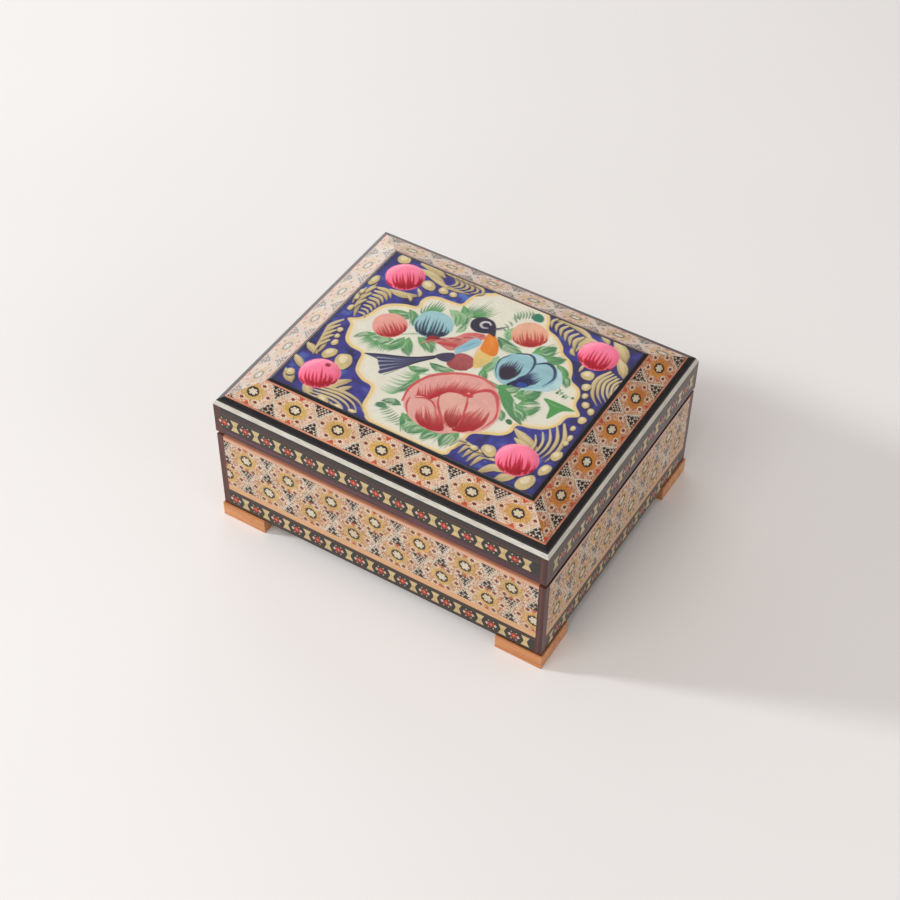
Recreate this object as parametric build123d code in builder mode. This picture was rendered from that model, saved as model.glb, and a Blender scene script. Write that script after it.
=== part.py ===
"""Small marquetry jewellery box with a painted, sloped lid on two brass hinges.

Millimetres. +Z is up, +X runs along the front, +Y points to the hinges. The origin is on
the table, under the middle of the box, and the lid is closed.
"""

from build123d import *
import os
from math import cos, radians, tan

os.makedirs("parts", exist_ok=True)

# Outline of the lid and the base
lid_length = 120.0
lid_width = 98.2
lid_overhang = 0.1

# Heights, from the table up
foot_height = 5.6
base_height = 32.5
rim_gap = 1.5
lid_side_height = 11.8
bone_height = 1.65

# Walls, boards and veneers
veneer = 1.2
base_wall = 4.0
lid_rail = 4.8
base_board_thickness = 3.0
post_size = 2.4
lower_band_height = 7.3
lid_rim_height = 2.4
bone_bevel = 0.93

# Sloped border of the lid, widths measured along the slope
slope_angle = 23.7
outer_black_width = 1.7
khatam_slope_width = 10.4
inner_black_width = 1.1

# Painted panel and its raised flower buds, each set in from the panel's nearest corner
panel_edge_radius = 0.35
bud_radius = 6.4
bud_height = 0.8
bud_insets = {
    "front_left": (11.5, 9.7),
    "front_right": (11.3, 10.4),
    "back_left": (9.5, 9.2),
    "back_right": (11.9, 8.8),
}

# Corner feet
foot_leg = 16.5
foot_end = 5.2
foot_proud = 0.5

# Velvet lining
lining_thickness = 1.2
lining_lip = 0.9
floor_pad_thickness = 1.6
lid_pad_thickness = 3.0
pad_edge_radius = 0.7
soft_clearance = 0.3

# Hinges, each set in from the lid's end
hinge_inset = 28.0
hinge_length = 14.0
leaf_thickness = 0.5
leaf_end_gap = 0.6
barrel_radius = 1.1
pin_radius = 0.5
knuckle_gap = 0.1
middle_knuckle = 4.6
running_clearance = 0.04
barrel_room = 0.15
axis_inset = 1.0

# Hinge nails
nail_radius = 0.45
nail_length = 3.6
nail_head_radius = 0.85
nail_spacing = 8.0
nail_clearance = 0.03

# Levels and outlines that follow from the sizes above
base_bottom = foot_height
rim_top = base_bottom + base_height
lid_bottom = rim_top + rim_gap
lid_shoulder = lid_bottom + lid_side_height
slope_start = lid_shoulder + bone_height
board_top = base_bottom + base_board_thickness
lip_top = rim_top + lining_lip

base_length = lid_length - 2 * lid_overhang
base_width = lid_width - 2 * lid_overhang
base_outline = (base_length, base_width)
lid_outline = (lid_length, lid_width)

slope_rise = tan(radians(slope_angle))
slope_run = cos(radians(slope_angle))
veneer_drop = veneer / slope_run
outer_black_end = veneer + outer_black_width * slope_run
khatam_slope_end = outer_black_end + khatam_slope_width * slope_run
panel_inset = khatam_slope_end + inner_black_width * slope_run
panel_top = slope_start + (panel_inset - bone_bevel) * slope_rise
panel_bottom = panel_top - veneer_drop
panel_length = lid_length - 2 * panel_inset
panel_width = lid_width - 2 * panel_inset

base_inset = veneer + base_wall
lid_inset = veneer + lid_rail
hinge_y = lid_width / 2 - axis_inset
hinge_z = lid_bottom - barrel_room - barrel_radius
leaf_front = base_width / 2 - base_inset + leaf_end_gap
leaf_back = hinge_y - barrel_radius - barrel_room
nail_y = (leaf_front + leaf_back) / 2

sides = ("front", "back", "left", "right")
corners = {
    "front_left": (-1, -1),
    "front_right": (1, -1),
    "back_left": (-1, 1),
    "back_right": (1, 1),
}
hinges = {"left": hinge_inset - lid_length / 2, "right": lid_length / 2 - hinge_inset}


def save(part, name):
    """Labels one finished piece, or a list of like pieces, and writes it under its own name."""
    if isinstance(part, list):
        part = Compound(children=part)
    part.label = name
    export_step(part, f"parts/{name}.step")


def side_frame(side, outline):
    """Middle of a side's foot line, its inward direction and its direction along the side."""
    length, width = outline
    frames = {
        "front": ((0, -width / 2, 0), (0, 1, 0), (1, 0, 0)),
        "back": ((0, width / 2, 0), (0, -1, 0), (-1, 0, 0)),
        "left": ((-length / 2, 0, 0), (1, 0, 0), (0, -1, 0)),
        "right": ((length / 2, 0, 0), (-1, 0, 0), (0, 1, 0)),
    }
    return frames[side]


def side_run(side, outline):
    """Length of a side."""
    length, width = outline
    return length if side in ("front", "back") else width


def straight_strip(side, outline, inset, thickness, bottom, top, end_gap):
    """A strip along one side with square ends, each end_gap short of the outline's corner."""
    origin, inward, along = side_frame(side, outline)
    run = side_run(side, outline) - 2 * end_gap
    with BuildPart() as strip:
        with BuildSketch(Plane(origin=origin, x_dir=inward, z_dir=along)):
            with Locations((inset + thickness / 2, (bottom + top) / 2)):
                Rectangle(thickness, top - bottom)
        extrude(amount=run / 2, both=True)
    return strip.part


def mitred_strip(side, outline, profile):
    """A strip along one side with mitred ends. Its profile is given as (inward, height)."""
    origin, inward, along = side_frame(side, outline)
    half_run = side_run(side, outline) / 2
    reach = min(outline) / 2 - 1
    highest = max(height for _, height in profile)
    with BuildPart() as strip:
        with BuildSketch(Plane(origin=origin, x_dir=inward, z_dir=along)):
            with BuildLine():
                Polyline(*profile, close=True)
            make_face()
        extrude(amount=half_run, both=True)
        with BuildSketch(Plane(origin=origin, x_dir=along, z_dir=(0, 0, 1))):
            with BuildLine():
                Polyline(
                    (-half_run, 0),
                    (half_run, 0),
                    (half_run - reach, reach),
                    (reach - half_run, reach),
                    close=True,
                )
            make_face()
        extrude(amount=highest + 1, mode=Mode.INTERSECT)
    return strip.part


def slope_profile(start, end):
    """Section of a veneer on the sloped border, between two distances from the lid's edge."""
    low = slope_start + (start - bone_bevel) * slope_rise
    high = slope_start + (end - bone_bevel) * slope_rise
    return [(start, low - veneer_drop), (end, high - veneer_drop), (end, high), (start, low)]


def corner_places(outline, size):
    """Middles of four square posts that fill the corners of an outline."""
    length, width = outline
    return [
        (sx * (length - size) / 2, sy * (width - size) / 2) for sx, sy in corners.values()
    ]


def ring_side(side, outline, inset, thickness, bottom, top):
    """One side of a lining inside a frame. The long sides lap over the ends of the short ones."""
    end_gap = inset if side in ("front", "back") else inset + thickness
    return straight_strip(side, outline, inset, thickness, bottom, top, end_gap)


def cut_barrel_room():
    """Inside a block of the base: cuts the notches at the rim that clear the hinge barrels."""
    notch_bottom = hinge_z - barrel_radius - barrel_room
    for x in hinges.values():
        with Locations((x, leaf_back, notch_bottom)):
            Box(
                hinge_length + 2 * barrel_room,
                2 * (axis_inset + barrel_radius + barrel_room),
                lid_bottom - notch_bottom,
                align=(Align.CENTER, Align.MIN, Align.MIN),
                mode=Mode.SUBTRACT,
            )


def nail(x, up, clearance):
    """A countersunk nail through one leaf, or with a clearance the hole that it needs."""
    neck_level = lid_bottom if up > 0 else rim_top
    head_level = neck_level - up * leaf_thickness
    with BuildPart() as one_nail:
        with BuildSketch(Plane(origin=(x, nail_y, head_level), z_dir=(0, 0, up))):
            Circle(nail_head_radius + clearance)
        with BuildSketch(Plane(origin=(x, nail_y, neck_level), z_dir=(0, 0, up))):
            Circle(nail_radius + clearance)
        loft()
        with BuildSketch(Plane(origin=(x, nail_y, neck_level), z_dir=(0, 0, up))):
            Circle(nail_radius + clearance)
        extrude(amount=nail_length + clearance)
    return one_nail.part


def nail_places():
    """Where the nails of both hinges stand along the back."""
    return [x + shift for x in hinges.values() for shift in (-nail_spacing / 2, nail_spacing / 2)]


def frame_wall(side, outline, thickness, bottom, top, up):
    """A wooden wall behind the veneer. The long walls run past the short ones, and their ends
    are cut away for the corner posts. The back wall takes the hinge nails: down from its top
    where up is -1, as on the base, with room for the barrels too, and up where up is 1."""
    is_long = side in ("front", "back")
    end_gap = veneer if is_long else veneer + thickness
    with BuildPart() as wall:
        add(straight_strip(side, outline, veneer, thickness, bottom, top, end_gap))
        if is_long:
            with Locations(*[(x, y, bottom) for x, y in corner_places(outline, post_size)]):
                Box(
                    post_size,
                    post_size,
                    top - bottom,
                    align=(Align.CENTER, Align.CENTER, Align.MIN),
                    mode=Mode.SUBTRACT,
                )
        if side == "back":
            if up < 0:
                cut_barrel_room()
            for x in nail_places():
                add(nail(x, up, nail_clearance), mode=Mode.SUBTRACT)
    return wall.part


def side_veneer(side, outline, bottom, top):
    """A veneer between the corner posts of one side, on the base with room for the barrels."""
    with BuildPart() as sheet:
        add(straight_strip(side, outline, 0, veneer, bottom, top, post_size))
        if side == "back" and outline is base_outline:
            cut_barrel_room()
    return sheet.part


def hinge_leaf(x, up, knuckles):
    """One leaf with its knuckles. up is 1 for the lid's leaf and -1 for the base's."""
    seat_level = lid_bottom if up > 0 else rim_top
    with BuildPart() as leaf:
        with BuildSketch(Plane.XY.offset(seat_level)):
            with Locations((x, (leaf_front + leaf_back) / 2)):
                Rectangle(hinge_length, leaf_back - leaf_front)
            for start, end in knuckles:
                with Locations((x + (start + end) / 2, (leaf_front + hinge_y) / 2)):
                    Rectangle(end - start, hinge_y - leaf_front)
        extrude(amount=-up * leaf_thickness)
        for start, end in knuckles:
            with BuildSketch(Plane(origin=(x + start, hinge_y, hinge_z), z_dir=(1, 0, 0))):
                Circle(barrel_radius)
            extrude(amount=end - start)
        for start, end in knuckles:
            with BuildSketch(Plane(origin=(x + start, hinge_y, hinge_z), z_dir=(1, 0, 0))):
                Circle(pin_radius + running_clearance)
            extrude(amount=end - start, mode=Mode.SUBTRACT)
        for shift in (-nail_spacing / 2, nail_spacing / 2):
            add(nail(x + shift, up, nail_clearance), mode=Mode.SUBTRACT)
    return leaf.part


# Wooden walls of the base and rails of the lid
for side in sides:
    wall = frame_wall(side, base_outline, base_wall, base_bottom, rim_top, -1)
    save(wall, f"base_wall_{side}")
    rail = frame_wall(side, lid_outline, lid_rail, lid_bottom, lid_shoulder, 1)
    save(rail, f"lid_rail_{side}")

# Bottom board, glued between the walls
with BuildPart() as base_board:
    with BuildSketch(Plane.XY.offset(base_bottom)):
        Rectangle(base_length - 2 * base_inset, base_width - 2 * base_inset)
    extrude(amount=base_board_thickness)
save(base_board.part, "base_board")

# Veneers of the base: the wide inlaid field, and the narrow band under it
field_bottom = base_bottom + lower_band_height
for side in sides:
    save(side_veneer(side, base_outline, field_bottom, rim_top), f"base_khatam_{side}")
    save(side_veneer(side, base_outline, base_bottom, field_bottom), f"base_band_{side}")

# Corner posts of the base
for name, (x, y) in zip(corners, corner_places(base_outline, post_size)):
    with BuildPart() as post:
        with BuildSketch(Plane.XY.offset(base_bottom)):
            with Locations((x, y)):
                Rectangle(post_size, post_size)
        extrude(amount=base_height)
    save(post.part, f"base_post_{name}")

# Corner feet: square blocks with the inner corner cut off, a little proud of the walls
for name, (sx, sy) in corners.items():
    tip_x = sx * (base_length / 2 + foot_proud)
    tip_y = sy * (base_width / 2 + foot_proud)
    with BuildPart() as foot:
        with BuildSketch(Plane.XY):
            with BuildLine():
                Polyline(
                    (tip_x, tip_y),
                    (tip_x - sx * foot_leg, tip_y),
                    (tip_x - sx * foot_leg, tip_y - sy * foot_end),
                    (tip_x - sx * foot_end, tip_y - sy * foot_leg),
                    (tip_x, tip_y - sy * foot_leg),
                    close=True,
                )
            make_face()
        extrude(amount=foot_height)
    save(foot.part, f"foot_{name}")

# Velvet lining of the base: four walls with a lip above the rim, and a floor pad
for side in sides:
    lining = ring_side(side, base_outline, base_inset, lining_thickness, board_top, lip_top)
    save(lining, f"base_lining_{side}")

with BuildPart() as floor_pad:
    pad_inset = base_inset + lining_thickness + soft_clearance
    with BuildSketch(Plane.XY.offset(board_top)):
        Rectangle(base_length - 2 * pad_inset, base_width - 2 * pad_inset)
    extrude(amount=floor_pad_thickness)
    fillet(floor_pad.faces().sort_by(Axis.Z)[-1].edges(), radius=pad_edge_radius)
save(floor_pad.part, "base_lining_floor")

# Lid board: a low frustum that carries the sloped veneers and the painted panel
with BuildPart() as lid_board:
    shoulder_top = slope_start + (veneer - bone_bevel) * slope_rise - veneer_drop
    with BuildSketch(Plane.XY.offset(lid_shoulder)):
        Rectangle(lid_length - 2 * veneer, lid_width - 2 * veneer)
    extrude(amount=shoulder_top - lid_shoulder)
    with BuildSketch(Plane.XY.offset(shoulder_top)):
        Rectangle(lid_length - 2 * veneer, lid_width - 2 * veneer)
    with BuildSketch(Plane.XY.offset(panel_bottom)):
        Rectangle(panel_length, panel_width)
    loft()
save(lid_board.part, "lid_board")

# Veneers of the lid's sides: the inlaid band over a plain rosewood rim, and the corner posts
lid_rim_top = lid_bottom + lid_rim_height
for side in sides:
    save(side_veneer(side, lid_outline, lid_rim_top, lid_shoulder), f"lid_band_{side}")
save([side_veneer(side, lid_outline, lid_bottom, lid_rim_top) for side in sides], "lid_rim_strips")

with BuildPart() as lid_posts:
    with BuildSketch(Plane.XY.offset(lid_bottom)):
        with Locations(*corner_places(lid_outline, post_size)):
            Rectangle(post_size, post_size)
    extrude(amount=lid_side_height)
save(lid_posts.part, "lid_posts")

# White bone strip, bevelled on its outer face, all round the lid's shoulder
bone_profile = [
    (0, lid_shoulder),
    (veneer, lid_shoulder),
    (veneer, slope_start + (veneer - bone_bevel) * slope_rise),
    (bone_bevel, slope_start),
]
for side in sides:
    save(mitred_strip(side, lid_outline, bone_profile), f"bone_strip_{side}")

# Sloped border: inlaid veneer between two black strips
khatam_profile = slope_profile(outer_black_end, khatam_slope_end)
outer_profile = slope_profile(veneer, outer_black_end)
inner_profile = slope_profile(khatam_slope_end, panel_inset)
for side in sides:
    save(mitred_strip(side, lid_outline, khatam_profile), f"slope_khatam_{side}")
save([mitred_strip(side, lid_outline, outer_profile) for side in sides], "slope_black_outer")
save([mitred_strip(side, lid_outline, inner_profile) for side in sides], "slope_black_inner")

# Painted panel, and the four raised buds in its corners
with BuildPart() as panel:
    with BuildSketch(Plane.XY.offset(panel_bottom)):
        Rectangle(panel_length, panel_width)
    extrude(amount=veneer_drop)
    fillet(panel.faces().sort_by(Axis.Z)[-1].edges(), radius=panel_edge_radius)
save(panel.part, "painted_panel")

with BuildPart() as buds:
    cap_radius = (bud_radius**2 + bud_height**2) / (2 * bud_height)
    for name, (in_x, in_y) in bud_insets.items():
        x = corners[name][0] * (panel_length / 2 - in_x)
        y = corners[name][1] * (panel_width / 2 - in_y)
        with BuildSketch(Plane(origin=(x, y, panel_top), x_dir=(1, 0, 0), z_dir=(0, -1, 0))):
            with BuildLine():
                Line((0, 0), (bud_radius, 0))
                RadiusArc((bud_radius, 0), (0, bud_height), -cap_radius)
                Line((0, bud_height), (0, 0))
            make_face()
        revolve(axis=Axis((x, y, 0), (0, 0, 1)))
save(buds.part, "painted_buds")

# Velvet lining of the lid: a strip on each rail, and a thicker pad under the board
lid_lining = [
    ring_side(side, lid_outline, lid_inset, lining_thickness, lid_bottom, lid_shoulder)
    for side in sides
]
save(lid_lining, "lid_lining_sides")

with BuildPart() as lid_pad:
    pad_inset = lid_inset + lining_thickness + soft_clearance
    with BuildSketch(Plane.XY.offset(lid_shoulder - lid_pad_thickness)):
        Rectangle(lid_length - 2 * pad_inset, lid_width - 2 * pad_inset)
    extrude(amount=lid_pad_thickness)
    fillet(lid_pad.faces().sort_by(Axis.Z)[0].edges(), radius=pad_edge_radius)
save(lid_pad.part, "lid_lining_pad")

# Two brass butt hinges, let into the gap: the base's leaf has two knuckles, the lid's has one
half_hinge = hinge_length / 2
half_middle = middle_knuckle / 2
outer_knuckles = (
    (-half_hinge, -half_middle - knuckle_gap),
    (half_middle + knuckle_gap, half_hinge),
)
for name, x in hinges.items():
    save(hinge_leaf(x, -1, outer_knuckles), f"hinge_leaf_base_{name}")
    save(hinge_leaf(x, 1, [(-half_middle, half_middle)]), f"hinge_leaf_lid_{name}")

with BuildPart() as pins:
    for x in hinges.values():
        with BuildSketch(Plane(origin=(x - half_hinge, hinge_y, hinge_z), z_dir=(1, 0, 0))):
            Circle(pin_radius)
        extrude(amount=hinge_length)
save(pins.part, "hinge_pins")

for body, up in (("base", -1), ("lid", 1)):
    with BuildPart() as nails:
        for x in nail_places():
            add(nail(x, up, 0))
    save(nails.part, f"hinge_nails_{body}")
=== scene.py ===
"""The look of the small marquetry jewellery box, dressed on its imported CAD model.

Blender works in metres, in the CAD model's own frame. Lengths named here are in millimetres.
The painting is drawn by code on a sheet of small cells.
"""

import math
from collections import namedtuple
from contextlib import contextmanager

import bmesh
import bpy
import numpy as np
from mathutils import Matrix, Vector

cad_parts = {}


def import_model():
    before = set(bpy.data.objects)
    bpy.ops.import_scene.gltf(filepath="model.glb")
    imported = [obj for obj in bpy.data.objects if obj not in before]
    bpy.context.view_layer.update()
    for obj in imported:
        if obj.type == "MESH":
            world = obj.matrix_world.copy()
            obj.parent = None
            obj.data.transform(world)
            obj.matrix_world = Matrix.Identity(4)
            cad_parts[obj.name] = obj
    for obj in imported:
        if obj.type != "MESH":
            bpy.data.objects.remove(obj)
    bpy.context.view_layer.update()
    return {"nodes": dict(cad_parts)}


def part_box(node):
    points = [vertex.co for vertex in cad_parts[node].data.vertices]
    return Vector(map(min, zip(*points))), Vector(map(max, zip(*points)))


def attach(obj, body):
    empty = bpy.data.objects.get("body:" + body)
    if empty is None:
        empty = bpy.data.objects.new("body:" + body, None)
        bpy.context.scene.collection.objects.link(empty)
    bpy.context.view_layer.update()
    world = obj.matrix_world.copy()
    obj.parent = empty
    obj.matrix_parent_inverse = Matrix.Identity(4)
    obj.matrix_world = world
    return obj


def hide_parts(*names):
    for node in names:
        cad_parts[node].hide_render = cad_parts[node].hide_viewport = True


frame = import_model()
nodes = frame["nodes"]

MM = 0.001
UP = Vector((0, 0, 1))
chance = np.random.RandomState(11)


def node_box(name):
    """The lowest and highest corner of a CAD node's box, in millimetres."""
    return tuple(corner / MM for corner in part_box(name))


# Sizes taken from the CAD model
base_low = node_box("base_khatam_front")[0]
lid_low, lid_high = node_box("lid_band_front")
panel_high = node_box("painted_panel")[1]
base_length, base_width = -2 * node_box("base_khatam_left")[0].x, -2 * base_low.y
lid_length, lid_width = -2 * node_box("lid_band_left")[0].x, -2 * lid_low.y
field_bottom, base_bottom = base_low.z, node_box("base_band_front")[0].z
lid_rim_top, lid_shoulder = lid_low.z, lid_high.z
panel_length, panel_width, panel_top = 2 * panel_high.x, 2 * panel_high.y, panel_high.z

# Sizes that the CAD model's source sets
post_size = 2.4
slope_angle = math.radians(23.7)
khatam_start, khatam_end = 2.757, 12.280
bud_radius, bud_height = 6.4, 0.8
lining_thickness = 1.2
bud_insets = ((-1, 1, 9.5, 9.2), (1, 1, 11.9, 8.8), (-1, -1, 11.5, 9.7), (1, -1, 11.3, 10.4))
bud_places = [
    (sx * (panel_length / 2 - dx), sy * (panel_width / 2 - dy)) for sx, sy, dx, dy in bud_insets
]

# Each side's way out, and its way along as seen from outside
SIDES = {
    "front": (Vector((0, -1, 0)), Vector((1, 0, 0))),
    "back": (Vector((0, 1, 0)), Vector((-1, 0, 0))),
    "left": (Vector((-1, 0, 0)), Vector((0, -1, 0))),
    "right": (Vector((1, 0, 0)), Vector((0, 1, 0))),
}


def side_sizes(along, length, width):
    """How long a side is, and how far it lies from the opposite one."""
    return (length, width) if along.y == 0 else (width, length)


def srgb(red, green, blue):
    """A colour written as 0 to 255 on a screen, as the linear colour that shaders take."""
    part = [c / 255 for c in (red, green, blue)]
    return tuple(c / 12.92 if c <= 0.04045 else ((c + 0.055) / 1.055) ** 2.4 for c in part)


def rgba(colour):
    return (*colour, 1.0)


# Materials


class Look:
    """One node material, built up step by step on its Principled shader."""

    def __init__(self, name, **sockets):
        self.material = bpy.data.materials.new(name)
        self.material.use_nodes = True
        self.tree = self.material.node_tree
        self.shader = self.tree.nodes["Principled BSDF"]
        for socket, value in sockets.items():
            self.shader.inputs[socket.replace("_", " ")].default_value = value

    def add(self, kind, wires=None, **settings):
        """A new node with its settings, its inputs wired or set."""
        node = self.tree.nodes.new("ShaderNode" + kind)
        for key, value in settings.items():
            setattr(node, key, value)
        for socket, value in (wires or {}).items():
            target = node.inputs[socket]
            if isinstance(value, bpy.types.NodeSocket):
                self.tree.links.new(value, target)
            else:
                target.default_value = value
        return node

    def place(self, stretch=(1, 1, 1)):
        """Object coordinates in millimetres, squeezed along each axis by stretch."""
        here = self.add("TexCoord").outputs["Object"]
        scale = tuple(s / MM for s in stretch)
        return self.add("Mapping", {"Vector": here, "Scale": scale}).outputs[0]

    def height(self):
        """Height in the frame, with the lid shut, in millimetres."""
        return self.add("SeparateXYZ", {0: self.place()}).outputs[2]

    def noise(self, vector, scale, detail=4.0, rough=0.55, twist=0.0):
        wires = {"Vector": vector, "Scale": scale, "Detail": detail, "Roughness": rough}
        return self.add("TexNoise", {**wires, "Distortion": twist}).outputs[0]

    def ramp(self, value, stops):
        """A colour ramp through (position, linear colour) stops."""
        node = self.add("ValToRGB", {"Fac": value})
        marks = node.color_ramp.elements
        while len(marks) < len(stops):
            marks.new(0.5)
        for mark, (position, colour) in zip(marks, stops):
            mark.position = position
            mark.color = rgba(colour)
        return node.outputs[0]

    def tones(self, value, *stops):
        """A colour ramp through (position, red, green, blue) stops, colours from 0 to 255."""
        return self.ramp(value, [(stop[0], srgb(*stop[1:])) for stop in stops])

    def greys(self, value, *stops):
        """A ramp through (position, brightness) stops."""
        return self.ramp(value, [(position, (grey,) * 3) for position, grey in stops])

    def math(self, operation, a, b=0.0, clamp=False):
        return self.add("Math", {0: a, 1: b}, operation=operation, use_clamp=clamp).outputs[0]

    def mix(self, how_much, a, b, blend="MIX"):
        a, b = (rgba(c) if isinstance(c, tuple) else c for c in (a, b))
        wires = {0: how_much, 6: a, 7: b}
        return self.add("Mix", wires, data_type="RGBA", blend_type=blend).outputs[2]

    def done(self, colour, gloss, relief):
        """Wires the colour, roughness (value, low, high) and bump (height, metres, strength)."""
        span = self.add("MapRange", dict(zip(("Value", "To Min", "To Max"), gloss)))
        bump = self.add("Bump", dict(zip(("Height", "Distance", "Strength"), relief)))
        for socket, output in (
            ("Base Color", colour), ("Roughness", span.outputs[0]), ("Normal", bump.outputs[0])
        ):
            self.tree.links.new(output, self.shader.inputs[socket])
        return self.material


def wood(name, axis, tones, scale, gloss, coat):
    """Planed wood whose grain runs along one axis, with streaks, pores and a thin finish."""
    look = Look(name, Coat_Weight=coat, Coat_Roughness=0.12, Specular_IOR_Level=0.3)
    streaks, specks = (
        look.place(tuple(along if a == axis else 1.0 for a in "xyz")) for along in (0.05, 0.12)
    )
    broad = look.noise(streaks, scale * 0.35, 3, 0.5, 0.6)
    fine = look.noise(streaks, scale * 2.2, 5, 0.65, 0.2)
    mixed = look.math("ADD", look.math("MULTIPLY", broad, 0.6), look.math("MULTIPLY", fine, 0.4))
    colour = look.tones(mixed, *((at, *tone) for at, tone in zip((0.34, 0.5, 0.66), tones)))
    pore = look.noise(specks, scale * 6, 2, 0.6)
    colour = look.mix(0.4, colour, look.greys(pore, (0.36, 0.45), (0.46, 1.0)), "MULTIPLY")
    dents = look.math("ADD", fine, look.math("MULTIPLY", pore, 0.5))
    return look.done(colour, (fine, gloss - 0.08, gloss + 0.12), (dents, 0.00006, 0.5))


# Width of the bone strip that the black lacquer above it leaves bare
BONE_SHOWING = 1.36


def bone():
    """White bone, its top edge lapped by black lacquer from the strip above."""
    look = Look("bone_strip", Coat_Weight=0.45, Coat_Roughness=0.08)
    streak = look.noise(look.place((0.12, 0.12, 1.2)), 2.2, 5, 0.6, 0.3)
    cloud = look.noise(look.place(), 0.12, 3)
    colour = look.tones(streak, (0.3, 176, 172, 162), (0.5, 200, 198, 190), (0.72, 214, 212, 206))
    tint = look.tones(cloud, (0.35, 240, 236, 228), (0.65, 255, 255, 255))
    colour = look.mix(0.6, colour, tint, "MULTIPLY")
    lapped = look.math("GREATER_THAN", look.height(), lid_shoulder + BONE_SHOWING)
    colour = look.mix(lapped, colour, srgb(26, 24, 27))
    return look.done(colour, (streak, 0.22, 0.4), (streak, 0.00004, 0.4))


def ebony():
    look = Look("ebony_strip", Coat_Weight=0.2, Coat_Roughness=0.12, Specular_IOR_Level=0.25)
    grain = look.noise(look.place((0.15, 0.15, 1.0)), 1.8, 5, 0.65, 0.3)
    colour = look.tones(grain, (0.3, 14, 13, 17), (0.55, 25, 23, 27), (0.75, 42, 36, 36))
    return look.done(colour, (grain, 0.25, 0.42), (grain, 0.00004, 0.4))


LAYER_WANDER, LAYER_SEAM = 0.24, 0.1


def layered(name, bottom, layers, seam=(60, 45, 40)):
    """Veneer made of long level layers: (top above bottom, colour) from the lowest up."""
    look = Look(name, Coat_Weight=0.25, Coat_Roughness=0.12, Specular_IOR_Level=0.3)
    wander = look.noise(look.place((0.05, 0.05, 0.2)), 1.0, 2)
    height = look.math("SUBTRACT", look.height(), bottom)
    height = look.math("ADD", height, look.math("MULTIPLY", wander, LAYER_WANDER))
    fibre = look.noise(look.place((0.06, 0.06, 1.6)), 1.7, 5, 0.65, 0.2)
    colour = joint = None
    for top, tone in layers:
        dark = tuple(c * 0.72 for c in srgb(*tone))
        shade = look.ramp(fibre, [(0.3, dark), (0.7, srgb(*tone))])
        if colour is None:
            colour = shade
        else:
            colour = look.mix(look.math("GREATER_THAN", height, joint), colour, shade)
            edge = look.math("ABSOLUTE", look.math("SUBTRACT", height, joint))
            line = look.math("MULTIPLY", look.math("LESS_THAN", edge, LAYER_SEAM / 2), 0.7)
            colour = look.mix(line, colour, srgb(*seam))
        joint = top + LAYER_WANDER / 2
    return look.done(colour, (fibre, 0.24, 0.42), (fibre, 0.00005, 0.4))


def inlay_material(name, coat):
    """Marquetry of small triangles: each has its own colour, grain and fine glue seam."""
    look = Look(name, Coat_Weight=coat, Coat_Roughness=0.12, Specular_IOR_Level=0.25)
    tone = look.add("Attribute", attribute_name="inlay").outputs["Color"]
    spot = look.add("UVMap", uv_map="lattice").outputs[0]
    a, b = look.add("SeparateXYZ", {0: spot}).outputs[:2]
    near = None
    for line in (a, b, look.math("ADD", a, b)):
        away = look.math("PINGPONG", line, 0.5)
        near = away if near is None else look.math("MINIMUM", near, away)
    seam = look.math("SUBTRACT", 1.0, look.math("MULTIPLY", near, 14.0), clamp=True)
    grain = look.noise(look.place(), 3.4, 5, 0.7, 0.6)
    cloud = look.noise(look.place(), 0.16, 3, 0.5)
    shade = look.ramp(grain, [(0.3, (0.74, 0.72, 0.7)), (0.7, (1.0, 1.0, 1.0))])
    aged = look.tones(cloud, (0.35, 236, 222, 204), (0.65, 255, 255, 255))
    colour = look.mix(0.8, tone, shade, "MULTIPLY")
    colour = look.mix(0.7, colour, aged, "MULTIPLY")
    colour = look.mix(look.math("MULTIPLY", seam, 0.32), colour, srgb(70, 50, 42))
    dents = look.math("SUBTRACT", look.math("MULTIPLY", grain, 0.6), look.math("MULTIPLY", seam, 0.5))
    return look.done(colour, (grain, 0.22, 0.4), (dents, 0.00005, 0.5))


def paint_material(name, gloss, coat):
    """Gouache under varnish: colour from the drawn sheet, with pigment grain and brush marks."""
    look = Look(name, Coat_Weight=coat, Coat_Roughness=0.1, Specular_IOR_Level=0.35)
    tone = look.add("Attribute", attribute_name="drawn").outputs["Color"]
    pigment = look.noise(look.place(), 2.6, 6, 0.7)
    wash = look.noise(look.place(), 0.22, 4, 0.6, 0.5)
    pool = look.ramp(wash, [(0.3, (0.9, 0.9, 0.92)), (0.65, (1.0, 1.0, 1.0))])
    colour = look.mix(0.7, tone, look.greys(pigment, (0.3, 0.86), (0.7, 1.0)), "MULTIPLY")
    colour = look.mix(0.7, colour, pool, "MULTIPLY")
    bristle = look.noise(look.place((1.0, 0.35, 1.0)), 3.2, 5, 0.65, 0.4)
    dents = look.math("ADD", pigment, bristle)
    return look.done(colour, (pigment, gloss - 0.08, gloss + 0.12), (dents, 0.00004, 0.45))


def lacquer_panel():
    """The panel's bare edge: dark blue ground under varnish, its tone a little uneven."""
    look = Look("panel_ground", Coat_Weight=0.6, Coat_Roughness=0.1)
    wash = look.noise(look.place(), 0.4, 4, 0.6)
    colour = look.tones(wash, (0.3, 28, 26, 44), (0.6, 40, 38, 74), (0.8, 64, 58, 92))
    grain = look.noise(look.place(), 2.2, 5)
    return look.done(colour, (wash, 0.3, 0.45), (grain, 0.00004, 0.4))


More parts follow.
